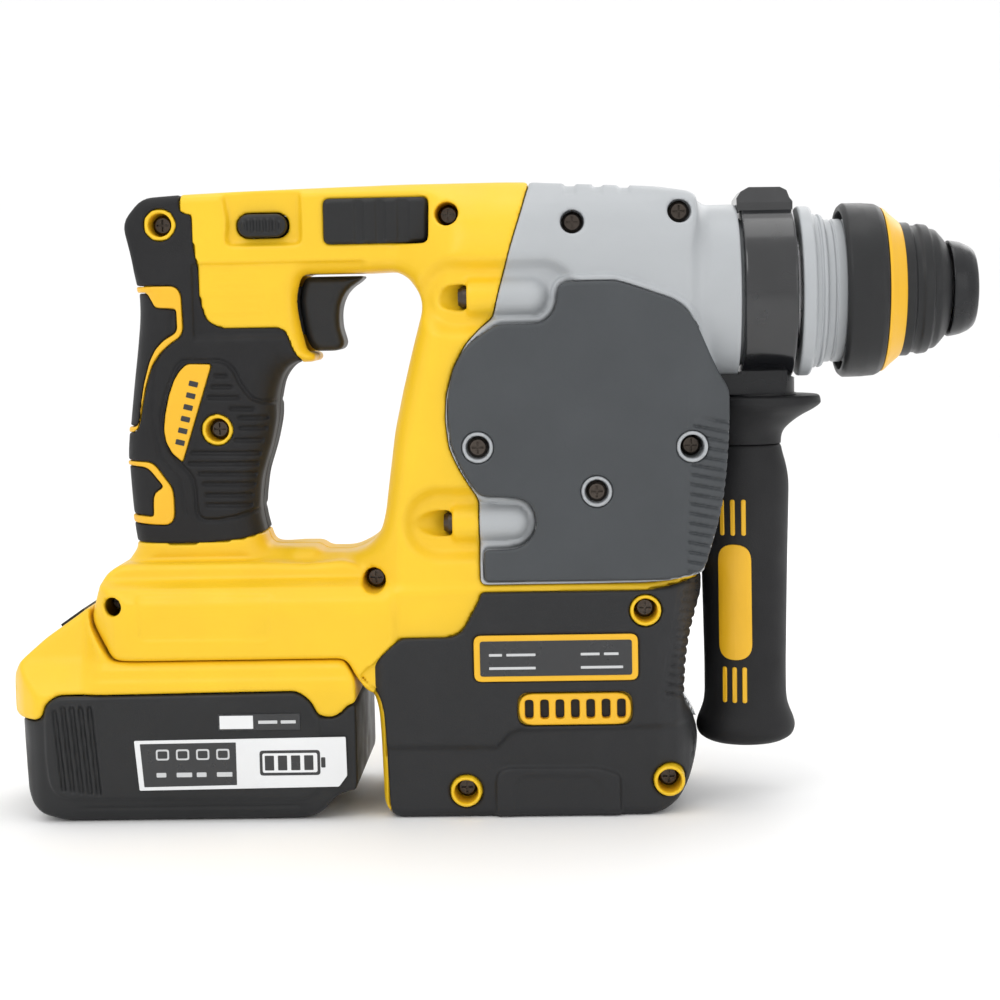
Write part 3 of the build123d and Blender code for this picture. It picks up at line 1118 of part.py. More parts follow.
with BuildPart() as side_grip:
    with BuildSketch(Plane.XZ):
        Polygon((GRIP_X, -53.7), (GRIP_X + 13.2, -53.7), (GRIP_X + 13.8, -57), (GRIP_X + 15.6, -63.5), (GRIP_X + 16.0, -68), (GRIP_X + 15.7, -78),
                (GRIP_X + 15.3, -95), (GRIP_X + 14.9, -115), (GRIP_X + 14.6, -132), (GRIP_X + 14.6, -144), (GRIP_X + 15.4, -148.4), (GRIP_X + 17.2, -152),
                (GRIP_X + 17.8, -155), (GRIP_X + 16.6, -158.4), (GRIP_X + 13.0, -160.6), (GRIP_X, -161.4), align=None)
    revolve(axis=Axis((GRIP_X, 0, 0), (0, 0, 1)), revolution_arc=360)
    with BuildSketch(Plane.XY.offset(-79)):
        with Locations((GRIP_X, 0)):
            Circle(4.05)
    extrude(amount=30, mode=Mode.SUBTRACT)
    # seat of the coloured inlay, turned 18 degrees to the rear
    with BuildSketch(Plane(origin=(GRIP_X - 14.4 * sin(radians(18)), -14.4 * cos(radians(18)), -108.4), x_dir=(cos(radians(18)), -sin(radians(18)), 0), z_dir=(-sin(radians(18)), -cos(radians(18)), 0))):
        SlotOverall(41.2, 12.4, rotation=90)
    extrude(amount=4, mode=Mode.SUBTRACT)
save(side_grip, "side_grip")
with BuildPart() as side_grip_inlay:
    with BuildSketch(Plane(origin=(GRIP_X - 14.4 * sin(radians(18)), -14.4 * cos(radians(18)), -108.4), x_dir=(cos(radians(18)), -sin(radians(18)), 0), z_dir=(-sin(radians(18)), -cos(radians(18)), 0))):
        SlotOverall(41.0, 12.2, rotation=90)
    extrude(amount=0.9)
save(side_grip_inlay, "side_grip_inlay")

# ------------------------------------------------------------ battery
TOPCASE = [
    (-304.0, -123.8), (-311.9, -112.9), (-312.9, -109.6), (-312.8, -106.2), (-314.0, -106.2), (-318.0, -109.1), (-328.4, -116.2), (-336.7, -123.4),
    (-342.4, -130.6), (-344.0, -136.5), (-343.6, -143.5), (-330.6, -143.6), (-328.1, -142.2), (-327.2, -138.7), (-325.4, -136.6), (-322.2, -134.9),
    (-239.6, -134.3), (-236.9, -135.7), (-234.2, -138.2), (-231.9, -143.1), (-227.0, -143.5), (-224.2, -142.2), (-221.7, -139.4), (-218.9, -138.7),
    (-219.0, -130.8), (-221.0, -127.0), (-223.0, -123.8),
]
LOWCASE = [
    (-337.6, -143.5), (-335.7, -169.4), (-333.5, -174.0), (-329.0, -177.2), (-322.0, -179.8), (-318, Z_FLOOR), (-240.0, Z_FLOOR), (-234.8, -179.0),
    (-231.3, -177.0), (-228.4, -173.5), (-225.8, -171.1), (-223.0, -170.0), (-219.5, -169.4), (-218.9, -167.0), (-218.9, -138.7), (-221.7, -139.4),
    (-224.2, -142.2), (-227.0, -143.5), (-231.9, -143.1), (-234.2, -138.2), (-236.9, -135.7), (-239.6, -134.3), (-322.2, -134.9), (-325.4, -136.6),
    (-327.2, -138.7), (-328.1, -142.2), (-330.6, -143.6),
]
LATCH_A = Vector(-317.6, 0, -108.8)
LATCH_D = Vector(-10.4, 0, -7.1).normalized()
LATCH_N = Vector(-7.1, 0, 10.4).normalized()


def latch_pt(along, out):
    p = LATCH_A + LATCH_D * along + LATCH_N * out
    return (p.X, p.Z)


with BuildPart() as battery_top_case:
    with BuildSketch(Plane.XZ):
        Polygon(*TOPCASE, align=None)
    extrude(amount=HW_BATT, both=True)
    with BuildSketch(Plane.YZ.offset(-350)):
        Polygon((-HW_BATT, -146), (-HW_BATT, -135.5), (-36.0, -131.4), (-31.5, -128.6), (-28, -123.4), (-23, -106), (23, -106), (28, -123.4), (31.5, -128.6), (36.0, -131.4), (HW_BATT, -135.5), (HW_BATT, -146), align=None)
    extrude(amount=135, mode=Mode.INTERSECT)
    with BuildSketch(Plane.XY.offset(-146)):
        Polygon((-346, -20), (-346, 20), (-343, 30), (-337, 36), (-330, 38.5), (-217, 38.5), (-217, -38.5), (-330, -38.5), (-337, -36), (-343, -30), align=None)
    extrude(amount=45, mode=Mode.INTERSECT)
    # hollow
    with BuildSketch(Plane.XZ):
        Polygon((-334, -125), (-339.5, -132), (-340.8, -137), (-340.4, -146), (-222, -146), (-222, -131), (-225, -127.2), (-305, -127.2), (-316, -124.6), align=None)
    extrude(amount=27.0, both=True, mode=Mode.SUBTRACT)
    with BuildSketch(Plane.XZ):
        Polygon((-333, -136), (-333, -146), (-222, -146), (-222, -136), align=None)
    extrude(amount=35.4, both=True, mode=Mode.SUBTRACT)
    # slide rails and terminal seat
    with BuildSketch(Plane.YZ.offset(-317)):
        Polygon((-22.4, -125), (-22.4, -120.0), (-26.4, -120.0), (-26.4, -114.2), (26.4, -114.2), (26.4, -120.0), (22.4, -120.0), (22.4, -125), align=None)
    extrude(amount=53)
    with BuildSketch(Plane.XZ):
        Polygon((-273, -120.6), (-263, -120.6), (-263, -113), (-273, -113), align=None)
    extrude(amount=18.5, both=True, mode=Mode.SUBTRACT)
    # latch pocket
    with BuildSketch(Plane.XZ):
        Polygon(latch_pt(-0.3, 2), latch_pt(10.6, 2), latch_pt(10.6, -9.0), latch_pt(-0.3, -9.0), align=None)
    extrude(amount=11.3, both=True, mode=Mode.SUBTRACT)
save(battery_top_case, "battery_top_case")

with BuildPart() as battery_bottom_case:
    with BuildSketch(Plane.XZ):
        Polygon(*LOWCASE, align=None)
    extrude(amount=HW_BATT, both=True)
    with BuildSketch(Plane.XY.offset(-182)):
        Polygon((-340, -24), (-340, 24), (-337.6, 31), (-332, 36.4), (-327, 38.5), (-217, 38.5), (-217, -38.5), (-327, -38.5), (-332, -36.4), (-337.6, -31), align=None)
    extrude(amount=60, mode=Mode.INTERSECT)
    with BuildSketch(Plane.YZ.offset(-350)):
        Polygon((-HW_BATT, -130), (-HW_BATT, -172.5), (-36.6, -177.2), (-33, -180.1), (33, -180.1), (36.6, -177.2), (HW_BATT, -172.5), (HW_BATT, -130), align=None)
    extrude(amount=135, mode=Mode.INTERSECT)
    with BuildSketch(Plane.XZ):
        Polygon((-334.2, -130), (-332.8, -168.6), (-331, -172.2), (-327.8, -174.6), (-321.6, -176.6), (-240.2, -176.6), (-236, -176.2), (-233.6, -174.6),
                (-231.0, -171.0), (-227.6, -168.0), (-222, -166.6), (-222, -130), align=None)
    extrude(amount=35.4, both=True, mode=Mode.SUBTRACT)
    # slanted finger grooves in both sides
    for side in (1, -1):
        with BuildSketch(Plane.XZ.offset(side * (HW_BATT - 1.0))):
            for k in range(5):
                gx = -328.6 + 3.3 * k
                gz = -143.6 + 1.6 * min(k, 2)
                Polygon((gx, gz), (gx + 1.9, gz), (gx + 5.6, -170.5), (gx + 3.7, -170.5), align=None)
        extrude(amount=side * 3.0, mode=Mode.SUBTRACT)
save(battery_bottom_case, "battery_bottom_case")

LABEL = [(-294.0, -150.6), (-222.6, -149.6), (-222.4, -164.4), (-224.0, -167.4), (-292.2, -168.2)]
with BuildPart() as battery_labels:
    with BuildSketch(Plane.XZ.offset(HW_BATT + 0.02)):
        Polygon(*LABEL, align=None)
    extrude(amount=0.3)
    mirror(about=Plane.XZ)
save(battery_labels, "battery_labels")

with BuildPart() as latch_button:
    with BuildSketch(Plane.XZ):
        Polygon(latch_pt(0.2, 1.0), latch_pt(10.1, 1.0), latch_pt(10.1, -4.6), latch_pt(0.2, -4.6), align=None)
    extrude(amount=10.9, both=True)
save(latch_button, "latch_button")
with BuildPart() as latch_spring:
    latch_mid = LATCH_A + LATCH_D * 5.2 + LATCH_N * -8.5
    with BuildLine():
        latch_helix = Helix(pitch=1.15, height=3.1, radius=2.8, center=latch_mid, direction=LATCH_N)
    with BuildSketch(Plane(origin=latch_helix @ 0, z_dir=latch_helix % 0)):
        Circle(0.3)
    sweep(path=latch_helix, is_frenet=True)
save(latch_spring, "latch_spring")

CELLS = [(-277.5 + 18.7 * (i - 2), z) for i in range(5) for z in (-166.6, -147.7)]
with BuildPart() as battery_cells:
    for cx, cz in CELLS:
        with BuildSketch(Plane.XZ.offset(-32.5)):
            with Locations((cx, cz)):
                Circle(9.1)
        extrude(amount=65)
save(battery_cells, "battery_cells")
with BuildPart() as cell_holder:
    for yy in (-30.0, 24.0):
        with BuildSketch(Plane.XZ.offset(yy)):
            Polygon((-326.0, -138.2), (-326.0, -172), (-322, -176.2), (-240, -176.2), (-231, -171.4), (-229.4, -168), (-229.4, -138.2), align=None)
            with Locations(*CELLS):
                Circle(9.2, mode=Mode.SUBTRACT)
        extrude(amount=6.0)
save(cell_holder, "cell_holder")
with BuildPart() as battery_terminal:
    with BuildSketch(Plane.XZ):
        Polygon((-272.9, -120.5), (-264.0, -120.5), (-264.0, -114.3), (-272.9, -114.3), align=None)
    extrude(amount=18.3, both=True)
    with BuildSketch(Plane.XY.offset(-119.4)):
        with Locations(*[(-267.4, y) for y in (-12, -6, 0, 6, 12)]):
            Rectangle(9.0, 1.8)
    extrude(amount=6, mode=Mode.SUBTRACT)
save(battery_terminal, "battery_terminal")
print("done")
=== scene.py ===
import bpy
import math
import numpy as np
from mathutils import Matrix, Vector


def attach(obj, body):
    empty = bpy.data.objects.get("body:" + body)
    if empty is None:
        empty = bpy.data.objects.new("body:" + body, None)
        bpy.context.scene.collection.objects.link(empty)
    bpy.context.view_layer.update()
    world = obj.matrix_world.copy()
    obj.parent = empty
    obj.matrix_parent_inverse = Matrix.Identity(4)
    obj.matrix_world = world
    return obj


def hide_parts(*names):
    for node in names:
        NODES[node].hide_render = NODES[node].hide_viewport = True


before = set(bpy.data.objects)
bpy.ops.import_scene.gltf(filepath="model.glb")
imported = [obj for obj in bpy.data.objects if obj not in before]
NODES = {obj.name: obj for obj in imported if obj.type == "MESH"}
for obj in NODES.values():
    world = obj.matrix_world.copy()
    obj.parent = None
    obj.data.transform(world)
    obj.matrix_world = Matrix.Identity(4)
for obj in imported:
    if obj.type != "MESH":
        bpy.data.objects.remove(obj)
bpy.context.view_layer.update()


# ------------------------------------------------------------------ camera
CAM = Vector((-0.1461, -0.750, -0.0015))
AIM = Vector((-0.16879, 0.0, -0.07254))
ROLL = math.radians(-1.092)
fwd = (AIM - CAM).normalized()
right = fwd.cross(Vector((0, 0, 1))).normalized()
up = right.cross(fwd)
cx = math.cos(ROLL) * right + math.sin(ROLL) * up
cy = -math.sin(ROLL) * right + math.cos(ROLL) * up
cam_data = bpy.data.cameras.new("camera")
cam_data.sensor_width = 36.0
cam_data.lens = 75.6
cam_data.clip_start = 0.01
cam_data.clip_end = 50
cam = bpy.data.objects.new("camera", cam_data)
m = Matrix((cx, cy, -fwd)).transposed().to_4x4()
m.translation = CAM
cam.matrix_world = m
bpy.context.scene.collection.objects.link(cam)
bpy.context.scene.camera = cam


# ------------------------------------------------------------------ materials
def new_mat(name):
    mt = bpy.data.materials.new(name)
    mt.use_nodes = True
    nt = mt.node_tree
    nt.nodes.clear()
    out = nt.nodes.new("ShaderNodeOutputMaterial")
    bs = nt.nodes.new("ShaderNodeBsdfPrincipled")
    nt.links.new(bs.outputs[0], out.inputs[0])
    return mt, nt, bs


def plastic(name, col, rough=0.45, grain=2200.0, bump=0.10, vary=0.05, metal=0.0, spec=0.5, coat=0.0, depth=0.0002, wear=0.0, rvar=0.08, sheen=0.0):
    """Moulded or coated surface: fine grain bump, slow colour drift, handling marks in the roughness."""
    mt, nt, bs = new_mat(name)
    tc = nt.nodes.new("ShaderNodeTexCoord")
    n1 = nt.nodes.new("ShaderNodeTexNoise")
    n1.inputs["Scale"].default_value = grain
    n1.inputs["Detail"].default_value = 2.5
    nt.links.new(tc.outputs["Object"], n1.inputs["Vector"])
    bp = nt.nodes.new("ShaderNodeBump")
    bp.inputs["Strength"].default_value = bump
    bp.inputs["Distance"].default_value = depth
    nt.links.new(n1.outputs[0], bp.inputs["Height"])
    nt.links.new(bp.outputs[0], bs.inputs["Normal"])
    n2 = nt.nodes.new("ShaderNodeTexNoise")
    n2.inputs["Scale"].default_value = 38.0
    n2.inputs["Detail"].default_value = 4.0
    nt.links.new(tc.outputs["Object"], n2.inputs["Vector"])
    cr = nt.nodes.new("ShaderNodeValToRGB")
    lo = [c * (1 - vary) for c in col]
    hi = [min(1, c * (1 + vary)) for c in col]
    cr.color_ramp.elements[0].position = 0.3
    cr.color_ramp.elements[0].color = (*lo, 1)
    cr.color_ramp.elements[1].position = 0.7
    cr.color_ramp.elements[1].color = (*hi, 1)
    nt.links.new(n2.outputs[0], cr.inputs[0])
    src = cr.outputs[0]
    if wear > 0:
        geo = nt.nodes.new("ShaderNodeNewGeometry")
        wr = nt.nodes.new("ShaderNodeValToRGB")
        wr.color_ramp.elements[0].position = 0.53
        wr.color_ramp.elements[0].color = (0, 0, 0, 1)
        wr.color_ramp.elements[1].position = 0.62
        wr.color_ramp.elements[1].color = (wear, wear, wear, 1)
        nt.links.new(geo.outputs["Pointiness"], wr.inputs[0])
        mx = nt.nodes.new("ShaderNodeMixRGB")
        mx.inputs[2].default_value = (*[min(1, c * 1.8 + 0.04) for c in col], 1)
        nt.links.new(wr.outputs[0], mx.inputs[0])
        nt.links.new(src, mx.inputs[1])
        src = mx.outputs[0]
    nt.links.new(src, bs.inputs["Base Color"])
    n3 = nt.nodes.new("ShaderNodeTexNoise")
    n3.inputs["Scale"].default_value = 90.0
    n3.inputs["Detail"].default_value = 6.0
    nt.links.new(tc.outputs["Object"], n3.inputs["Vector"])
    mr = nt.nodes.new("ShaderNodeMapRange")
    mr.inputs["From Min"].default_value = 0.3
    mr.inputs["From Max"].default_value = 0.7
    mr.inputs["To Min"].default_value = max(0.02, rough - rvar)
    mr.inputs["To Max"].default_value = min(1.0, rough + rvar)
    nt.links.new(n3.outputs[0], mr.inputs["Value"])
    nt.links.new(mr.outputs[0], bs.inputs["Roughness"])
    bs.inputs["Metallic"].default_value = metal
    bs.inputs["Specular IOR Level"].default_value = spec
    if coat:
        bs.inputs["Coat Weight"].default_value = coat
        bs.inputs["Coat Roughness"].default_value = 0.08
    if sheen:
        bs.inputs["Sheen Weight"].default_value = sheen
    return mt


YEL = (0.82, 0.515, 0.014)
M = {
    "yellow": plastic("yellow_plastic", YEL, 0.42, 1500, 0.16, 0.035, depth=0.00025, rvar=0.07, spec=0.42),
    "yellow_trim": plastic("yellow_trim", (0.80, 0.44, 0.01), 0.40, 2500, 0.06, 0.03),
    "rubber": plastic("soft_rubber", (0.0125, 0.0125, 0.0135), 0.58, 1900, 0.22, 0.10, spec=0.26, depth=0.00025, rvar=0.06),
    "black": plastic("black_plastic", (0.014, 0.0145, 0.0155), 0.44, 1900, 0.18, 0.10, spec=0.32, depth=0.0002),
    "black_smooth": plastic("black_smooth", (0.008, 0.0085, 0.010), 0.30, 2600, 0.05, 0.08, spec=0.36),
    "pad": plastic("pad_rubber", (0.048, 0.053, 0.058), 0.52, 1300, 0.28, 0.07, spec=0.40, depth=0.0003, rvar=0.05),
    "motor": plastic("motor_skin", (0.0175, 0.018, 0.0195), 0.50, 1500, 0.24, 0.08, spec=0.30, depth=0.00028, rvar=0.06),
    "grey": plastic("grey_case", (0.385, 0.402, 0.417), 0.42, 1500, 0.14, 0.03, depth=0.00025),
    "gloss": plastic("gloss_band", (0.009, 0.0095, 0.011), 0.22, 700, 0.05, 0.15, spec=0.6, coat=0.35, wear=0.10, rvar=0.08),
    "steel": plastic("machined_steel", (0.55, 0.55, 0.56), 0.30, 900, 0.05, 0.05, metal=1.0),
    "screw": plastic("dark_screw", (0.075, 0.062, 0.052), 0.34, 1200, 0.08, 0.15, metal=0.9),
    "alloy": plastic("cast_alloy", (0.50, 0.51, 0.52), 0.48, 800, 0.20, 0.05, metal=0.85),
    "copper": plastic("copper_winding", (0.55, 0.24, 0.10), 0.35, 900, 0.2, 0.08, metal=0.9),
    "board": plastic("coated_board", (0.015, 0.10, 0.04), 0.38, 700, 0.15, 0.2),
    "cell": plastic("cell_wrap", (0.03, 0.12, 0.30), 0.35, 900, 0.05, 0.05),
    "label_dark": plastic("label_dark", (0.016, 0.017, 0.019), 0.30, 2600, 0.03, 0.05, coat=0.2),
    "label_white": plastic("label_white", (0.74, 0.75, 0.76), 0.38, 2600, 0.03, 0.02),
    "print_grey": plastic("print_grey", (0.55, 0.56, 0.57), 0.4, 2600, 0.03, 0.02),
}
lens_mt, lens_nt, lens_bs = new_mat("lens_clear")
tcl = lens_nt.nodes.new("ShaderNodeTexCoord")
wv = lens_nt.nodes.new("ShaderNodeTexWave")
wv.inputs["Scale"].default_value = 320
lens_nt.links.new(tcl.outputs["Object"], wv.inputs["Vector"])
bpl = lens_nt.nodes.new("ShaderNodeBump")
bpl.inputs["Strength"].default_value = 0.2
bpl.inputs["Distance"].default_value = 0.0003
lens_nt.links.new(wv.outputs[0], bpl.inputs["Height"])
lens_nt.links.new(bpl.outputs[0], lens_bs.inputs["Normal"])
lens_bs.inputs["Base Color"].default_value = (0.9, 0.93, 0.95, 1)
lens_bs.inputs["Transmission Weight"].default_value = 0.8
lens_bs.inputs["Roughness"].default_value = 0.12
M["lens"] = lens_mt


# ------------------------------------------------------------------ field tools (millimetres)
def sm(poly, r=3.0, n=4):
    """Outline with every corner rounded by a smooth curve of reach r."""
    P = [np.array(p, float) for p in poly]
    out = []
    k = len(P)
    for i in range(k):
        v, a, b = P[i], P[i - 1], P[(i + 1) % k]
        la, lb = np.linalg.norm(a - v), np.linalg.norm(b - v)
        t = min(r, 0.5 * la, 0.5 * lb)
        p0 = v + (a - v) / la * t
        p2 = v + (b - v) / lb * t
        for j in range(n + 1):
            s = j / n
            out.append((1 - s) ** 2 * p0 + 2 * s * (1 - s) * v + s * s * p2)
    res = [out[0]]
    for q in out[1:]:
        if np.linalg.norm(q - res[-1]) > 1e-3:
            res.append(q)
    if np.linalg.norm(res[0] - res[-1]) < 1e-3:
        res.pop()
    return res


def d2(poly, X, Z):
    """Signed distance to a closed outline in the XZ plane, negative inside."""
    P = np.array(poly, np.float32)
    Q = np.roll(P, -1, 0)
    D = np.full((X.shape[0], Z.shape[1]), 1e9, np.float32)
    ins = np.zeros(D.shape, bool)
    for (ax, az), (bx, bz) in zip(P, Q):
        ex, ez = bx - ax, bz - az
        wx, wz = X - ax, Z - az
        t = np.clip((wx * ex + wz * ez) / max(ex * ex + ez * ez, 1e-9), 0, 1)
        dx, dz = wx - ex * t, wz - ez * t
        np.minimum(D, dx * dx + dz * dz, out=D)
        if az != bz:
            c = ((az > Z) != (bz > Z)) & (X < (bx - ax) * (Z - az) / (bz - az) + ax)
            ins ^= c
    D = np.sqrt(D)
    return np.where(ins, -D, D)


def seg2(a, b, X, Z):
    ex, ez = b[0] - a[0], b[1] - a[1]
    t = np.clip(((X - a[0]) * ex + (Z - a[1]) * ez) / (ex * ex + ez * ez), 0, 1)
    return np.sqrt((X - a[0] - ex * t) ** 2 + (Z - a[1] - ez * t) ** 2)


def polyline(pts, X, Z):
    D = None
    for a, b in zip(pts, pts[1:]):
        d = seg2(a, b, X, Z)
        D = d if D is None else np.minimum(D, d)
    return D


def sstep(e0, e1, v):
    t = np.clip((v - e0) / (e1 - e0), 0, 1)
    return t * t * (3 - 2 * t)


def smax(a, b, k):
    h = np.clip(0.5 + 0.5 * (a - b) / k, 0, 1)
    return b + (a - b) * h + k * h * (1 - h)


def smin(a, b, k):
    return -smax(-a, -b, k)


def softp(d, k):
    return 0.5 * (d + np.sqrt(d * d + k * k)) - 0.0


def si(v, xp, fp, w=2.0):
    acc = 0
    for o in (-1, -0.66, -0.33, 0, 0.33, 0.66, 1):
        acc = acc + np.interp(v + o * w, xp, fp)
    return (acc / 7).astype(np.float32)


def rint(a, b, r):
    """Intersection with a rounded outer edge."""
    return np.sqrt(np.maximum(a + r, 0) ** 2 + np.maximum(b + r, 0) ** 2) + np.minimum(np.maximum(a + r, b + r), 0) - r


def rdiff(a, b, r):
    return rint(a, -b, r)


def runi(a, b, r):
    """Union with a fillet."""
    return np.maximum(r, np.minimum(a, b)) - np.sqrt(np.maximum(r - a, 0) ** 2 + np.maximum(r - b, 0) ** 2)


class Grid:
    def __init__(g, x0, x1, y0, y1, z0, z1, h):
        g.h = h
        g.xs = np.arange(x0, x1 + h, h, dtype=np.float32)
        g.ys = np.arange(y0, y1 + h, h, dtype=np.float32)
        g.zs = np.arange(z0, z1 + h, h, dtype=np.float32)
        g.X, g.Z = g.xs[:, None], g.zs[None, :]
        g.x, g.y, g.z = g.xs[:, None, None], g.ys[None, :, None], g.zs[None, None, :]
        g.a = np.abs(g.y)
        g.c = {}

    def d(g, key, poly, r=3.0):
        if key not in g.c:
            g.c[key] = d2(sm(poly, r), g.X, g.Z)
        return g.c[key]


def U(a2):
    return a2[:, None, :]


def nets(f, g):
    """Closed surface of the zero level of f, as points and quads."""
    f = f.astype(np.float32)
    f[0], f[-1] = 1, 1
    f[:, 0], f[:, -1] = 1, 1
    f[:, :, 0], f[:, :, -1] = 1, 1
    s = f < 0
    nx, ny, nz = f.shape
    ids, pts, quads, flip = [], [], [], []
    for ax in range(3):
        lo = [slice(None)] * 3
        hi = [slice(None)] * 3
        lo[ax], hi[ax] = slice(0, -1), slice(1, None)
        a, b = s[tuple(lo)], s[tuple(hi)]
        I = np.argwhere(a != b)
        fa, fb = f[tuple(lo)][a != b], f[tuple(hi)][a != b]
        t = fa / (fa - fb)
        p = I.astype(np.float64)
        p[:, ax] += t
        o1, o2 = [(1, 2), (2, 0), (0, 1)][ax]
        cell = []
        for d1, dd in ((0, 0), (-1, 0), (-1, -1), (0, -1)):
            q = I.copy()
            q[:, o1] += d1
            q[:, o2] += dd
            cid = (q[:, 0] * ny + q[:, 1]) * nz + q[:, 2]
            cell.append(cid)
            ids.append(cid)
            pts.append(p)
        quads.append(np.stack(cell, 1))
        flip.append(fa < 0)
    ids = np.concatenate(ids)
    pts = np.concatenate(pts)
    uq, inv = np.unique(ids, return_inverse=True)
    cnt = np.bincount(inv).astype(float)
    V = np.stack([np.bincount(inv, pts[:, k]) / cnt for k in range(3)], 1)
    Q = np.concatenate(quads)
    fl = np.concatenate(flip)
    Q = np.searchsorted(uq, Q)
    Q[~fl] = Q[~fl][:, ::-1]
    # one light smoothing pass along the surface
    e = np.concatenate([Q[:, [0, 1]], Q[:, [1, 2]], Q[:, [2, 3]], Q[:, [3, 0]]])
    n = len(V)
    deg = np.bincount(e[:, 0], minlength=n) + np.bincount(e[:, 1], minlength=n)
    W = np.stack([np.bincount(e[:, 0], V[e[:, 1], k], n) + np.bincount(e[:, 1], V[e[:, 0], k], n) for k in range(3)], 1) / deg[:, None]
    V = 0.6 * V + 0.4 * W
    V = V * g.h + np.array([g.xs[0], g.ys[0], g.zs[0]])
    return V, Q


def mesh_piece(name, V, Q, mat, body, rep=(), smooth=True, tri=None):
    """Points in millimetres and quads (or tris) to a smooth piece riding on a body."""
    me = bpy.data.meshes.new(name)
    V = np.asarray(V, np.float64) * 0.001
    me.vertices.add(len(V))
    me.vertices.foreach_set("co", V.ravel())
    Q = np.asarray(Q)
    k = Q.shape[1]
    me.loops.add(Q.size)
    me.polygons.add(len(Q))
    me.loops.foreach_set("vertex_index", Q.ravel().astype(np.int32))
    me.polygons.foreach_set("loop_start", np.arange(0, Q.size, k, dtype=np.int32))
    me.polygons.foreach_set("loop_total", np.full(len(Q), k, np.int32))
    me.polygons.foreach_set("use_smooth", np.full(len(Q), bool(smooth)))
    me.update(calc_edges=True)
    me.validate()
    me.materials.append(M[mat])
    ob = bpy.data.objects.new(name, me)
    bpy.context.scene.collection.objects.link(ob)
    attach(ob, body)
    if rep:
        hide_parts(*rep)
    return ob


def nets_piece(name, f, g, mat, body, rep=(), mirror=False):
    V, Q = nets(f, g)
    if mirror:
        V = V * np.array([1, -1, 1])
        Q = Q[:, ::-1]
    return mesh_piece(name, V, Q, mat, body, rep)


def both_piece(name, f, g, mat, body, rep=()):
    V, Q = nets(f, g)
    V2, Q2 = V * np.array([1, -1, 1]), Q[:, ::-1] + len(V)
    return mesh_piece(name, np.concatenate([V, V2]), np.concatenate([Q, Q2]), mat, body, rep)


def lathe(name, prof, mat, body, axis="x", cen=(0, 0), rep=(), segs=144, r=0.45, wob=None):
    """Turned piece from a closed outline of (along, radius), corners softened by r."""
    P = np.array(sm(prof, r, 3))
    n = len(P)
    th = np.linspace(0, 2 * np.pi, segs, endpoint=False)
    A = np.repeat(P[:, 0][None], segs, 0)
    R = np.repeat(P[:, 1][None], segs, 0)
    if wob is not None:
        R = R + wob(A, R, th[:, None])
    C, S = np.cos(th)[:, None], np.sin(th)[:, None]
    if axis == "x":
        V = np.stack([A, R * C, R * S], 2)
    else:
        V = np.stack([cen[0] + R * C, cen[1] + R * S, A], 2)
    V = V.reshape(-1, 3)
    i, j = np.meshgrid(np.arange(segs), np.arange(n), indexing="ij")
    i2, j2 = (i + 1) % segs, (j + 1) % n
    Q = np.stack([i * n + j, i2 * n + j, i2 * n + j2, i * n + j2], 2).reshape(-1, 4)
    area = np.sum(P[:, 0] * np.roll(P[:, 1], -1) - np.roll(P[:, 0], -1) * P[:, 1])
    if (area > 0) == (axis == "x"):
        Q = Q[:, ::-1]
    ob = mesh_piece(name, V, Q, mat, body, rep)
    mod = ob.modifiers.new("edges", "WEIGHTED_NORMAL")
    mod.keep_sharp = True
    return ob


def plate(name, poly, ya, yb, mat, body, rep=(), sides=(-1, 1), r=1.0, ch=0.12):
    """Thin plate with a small chamfer on flat sides of the body, outer face at half width yb."""
    P = np.array(sm(poly, r, 4))
    n = len(P)
    area = np.sum(P[:, 0] * np.roll(P[:, 1], -1) - np.roll(P[:, 0], -1) * P[:, 1])
    if area < 0:
        P = P[::-1]
    T = np.roll(P, -1, 0) - np.roll(P, 1, 0)
    T /= np.linalg.norm(T, axis=1)[:, None]
    inw = np.stack([-T[:, 1], T[:, 0]], 1)
    Pi = P + inw * ch
    Vs, faces = [], []
    for s in sides:
        o = sum(len(v) for v in Vs)
        ring = [np.stack([P[:, 0], np.full(n, s * ya), P[:, 1]], 1),
                np.stack([P[:, 0], np.full(n, s * (yb - ch)), P[:, 1]], 1),
                np.stack([Pi[:, 0], np.full(n, s * yb), Pi[:, 1]], 1)]
        Vs.append(np.concatenate(ring))
        for k in range(2):
            for i in range(n):
                j = (i + 1) % n
                q = [o + k * n + i, o + k * n + j, o + (k + 1) * n + j, o + (k + 1) * n + i]
                faces.append(q if s < 0 else q[::-1])
        cap = [o + 2 * n + i for i in range(n)]
        bot = [o + i for i in range(n)]
        faces.append(cap if s < 0 else cap[::-1])
        faces.append(bot[::-1] if s < 0 else bot)
    me = bpy.data.meshes.new(name)
    me.from_pydata([tuple(v * 0.001) for v in np.concatenate(Vs)], [], faces)
    me.validate()
    me.materials.append(M[mat])
    ob = bpy.data.objects.new(name, me)
    bpy.context.scene.collection.objects.link(ob)
    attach(ob, body)
    if rep:
        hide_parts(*rep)
    return ob


def rrect(x0, x1, z0, z1):
    return [(x0, z0), (x1, z0), (x1, z1), (x0, z1)]


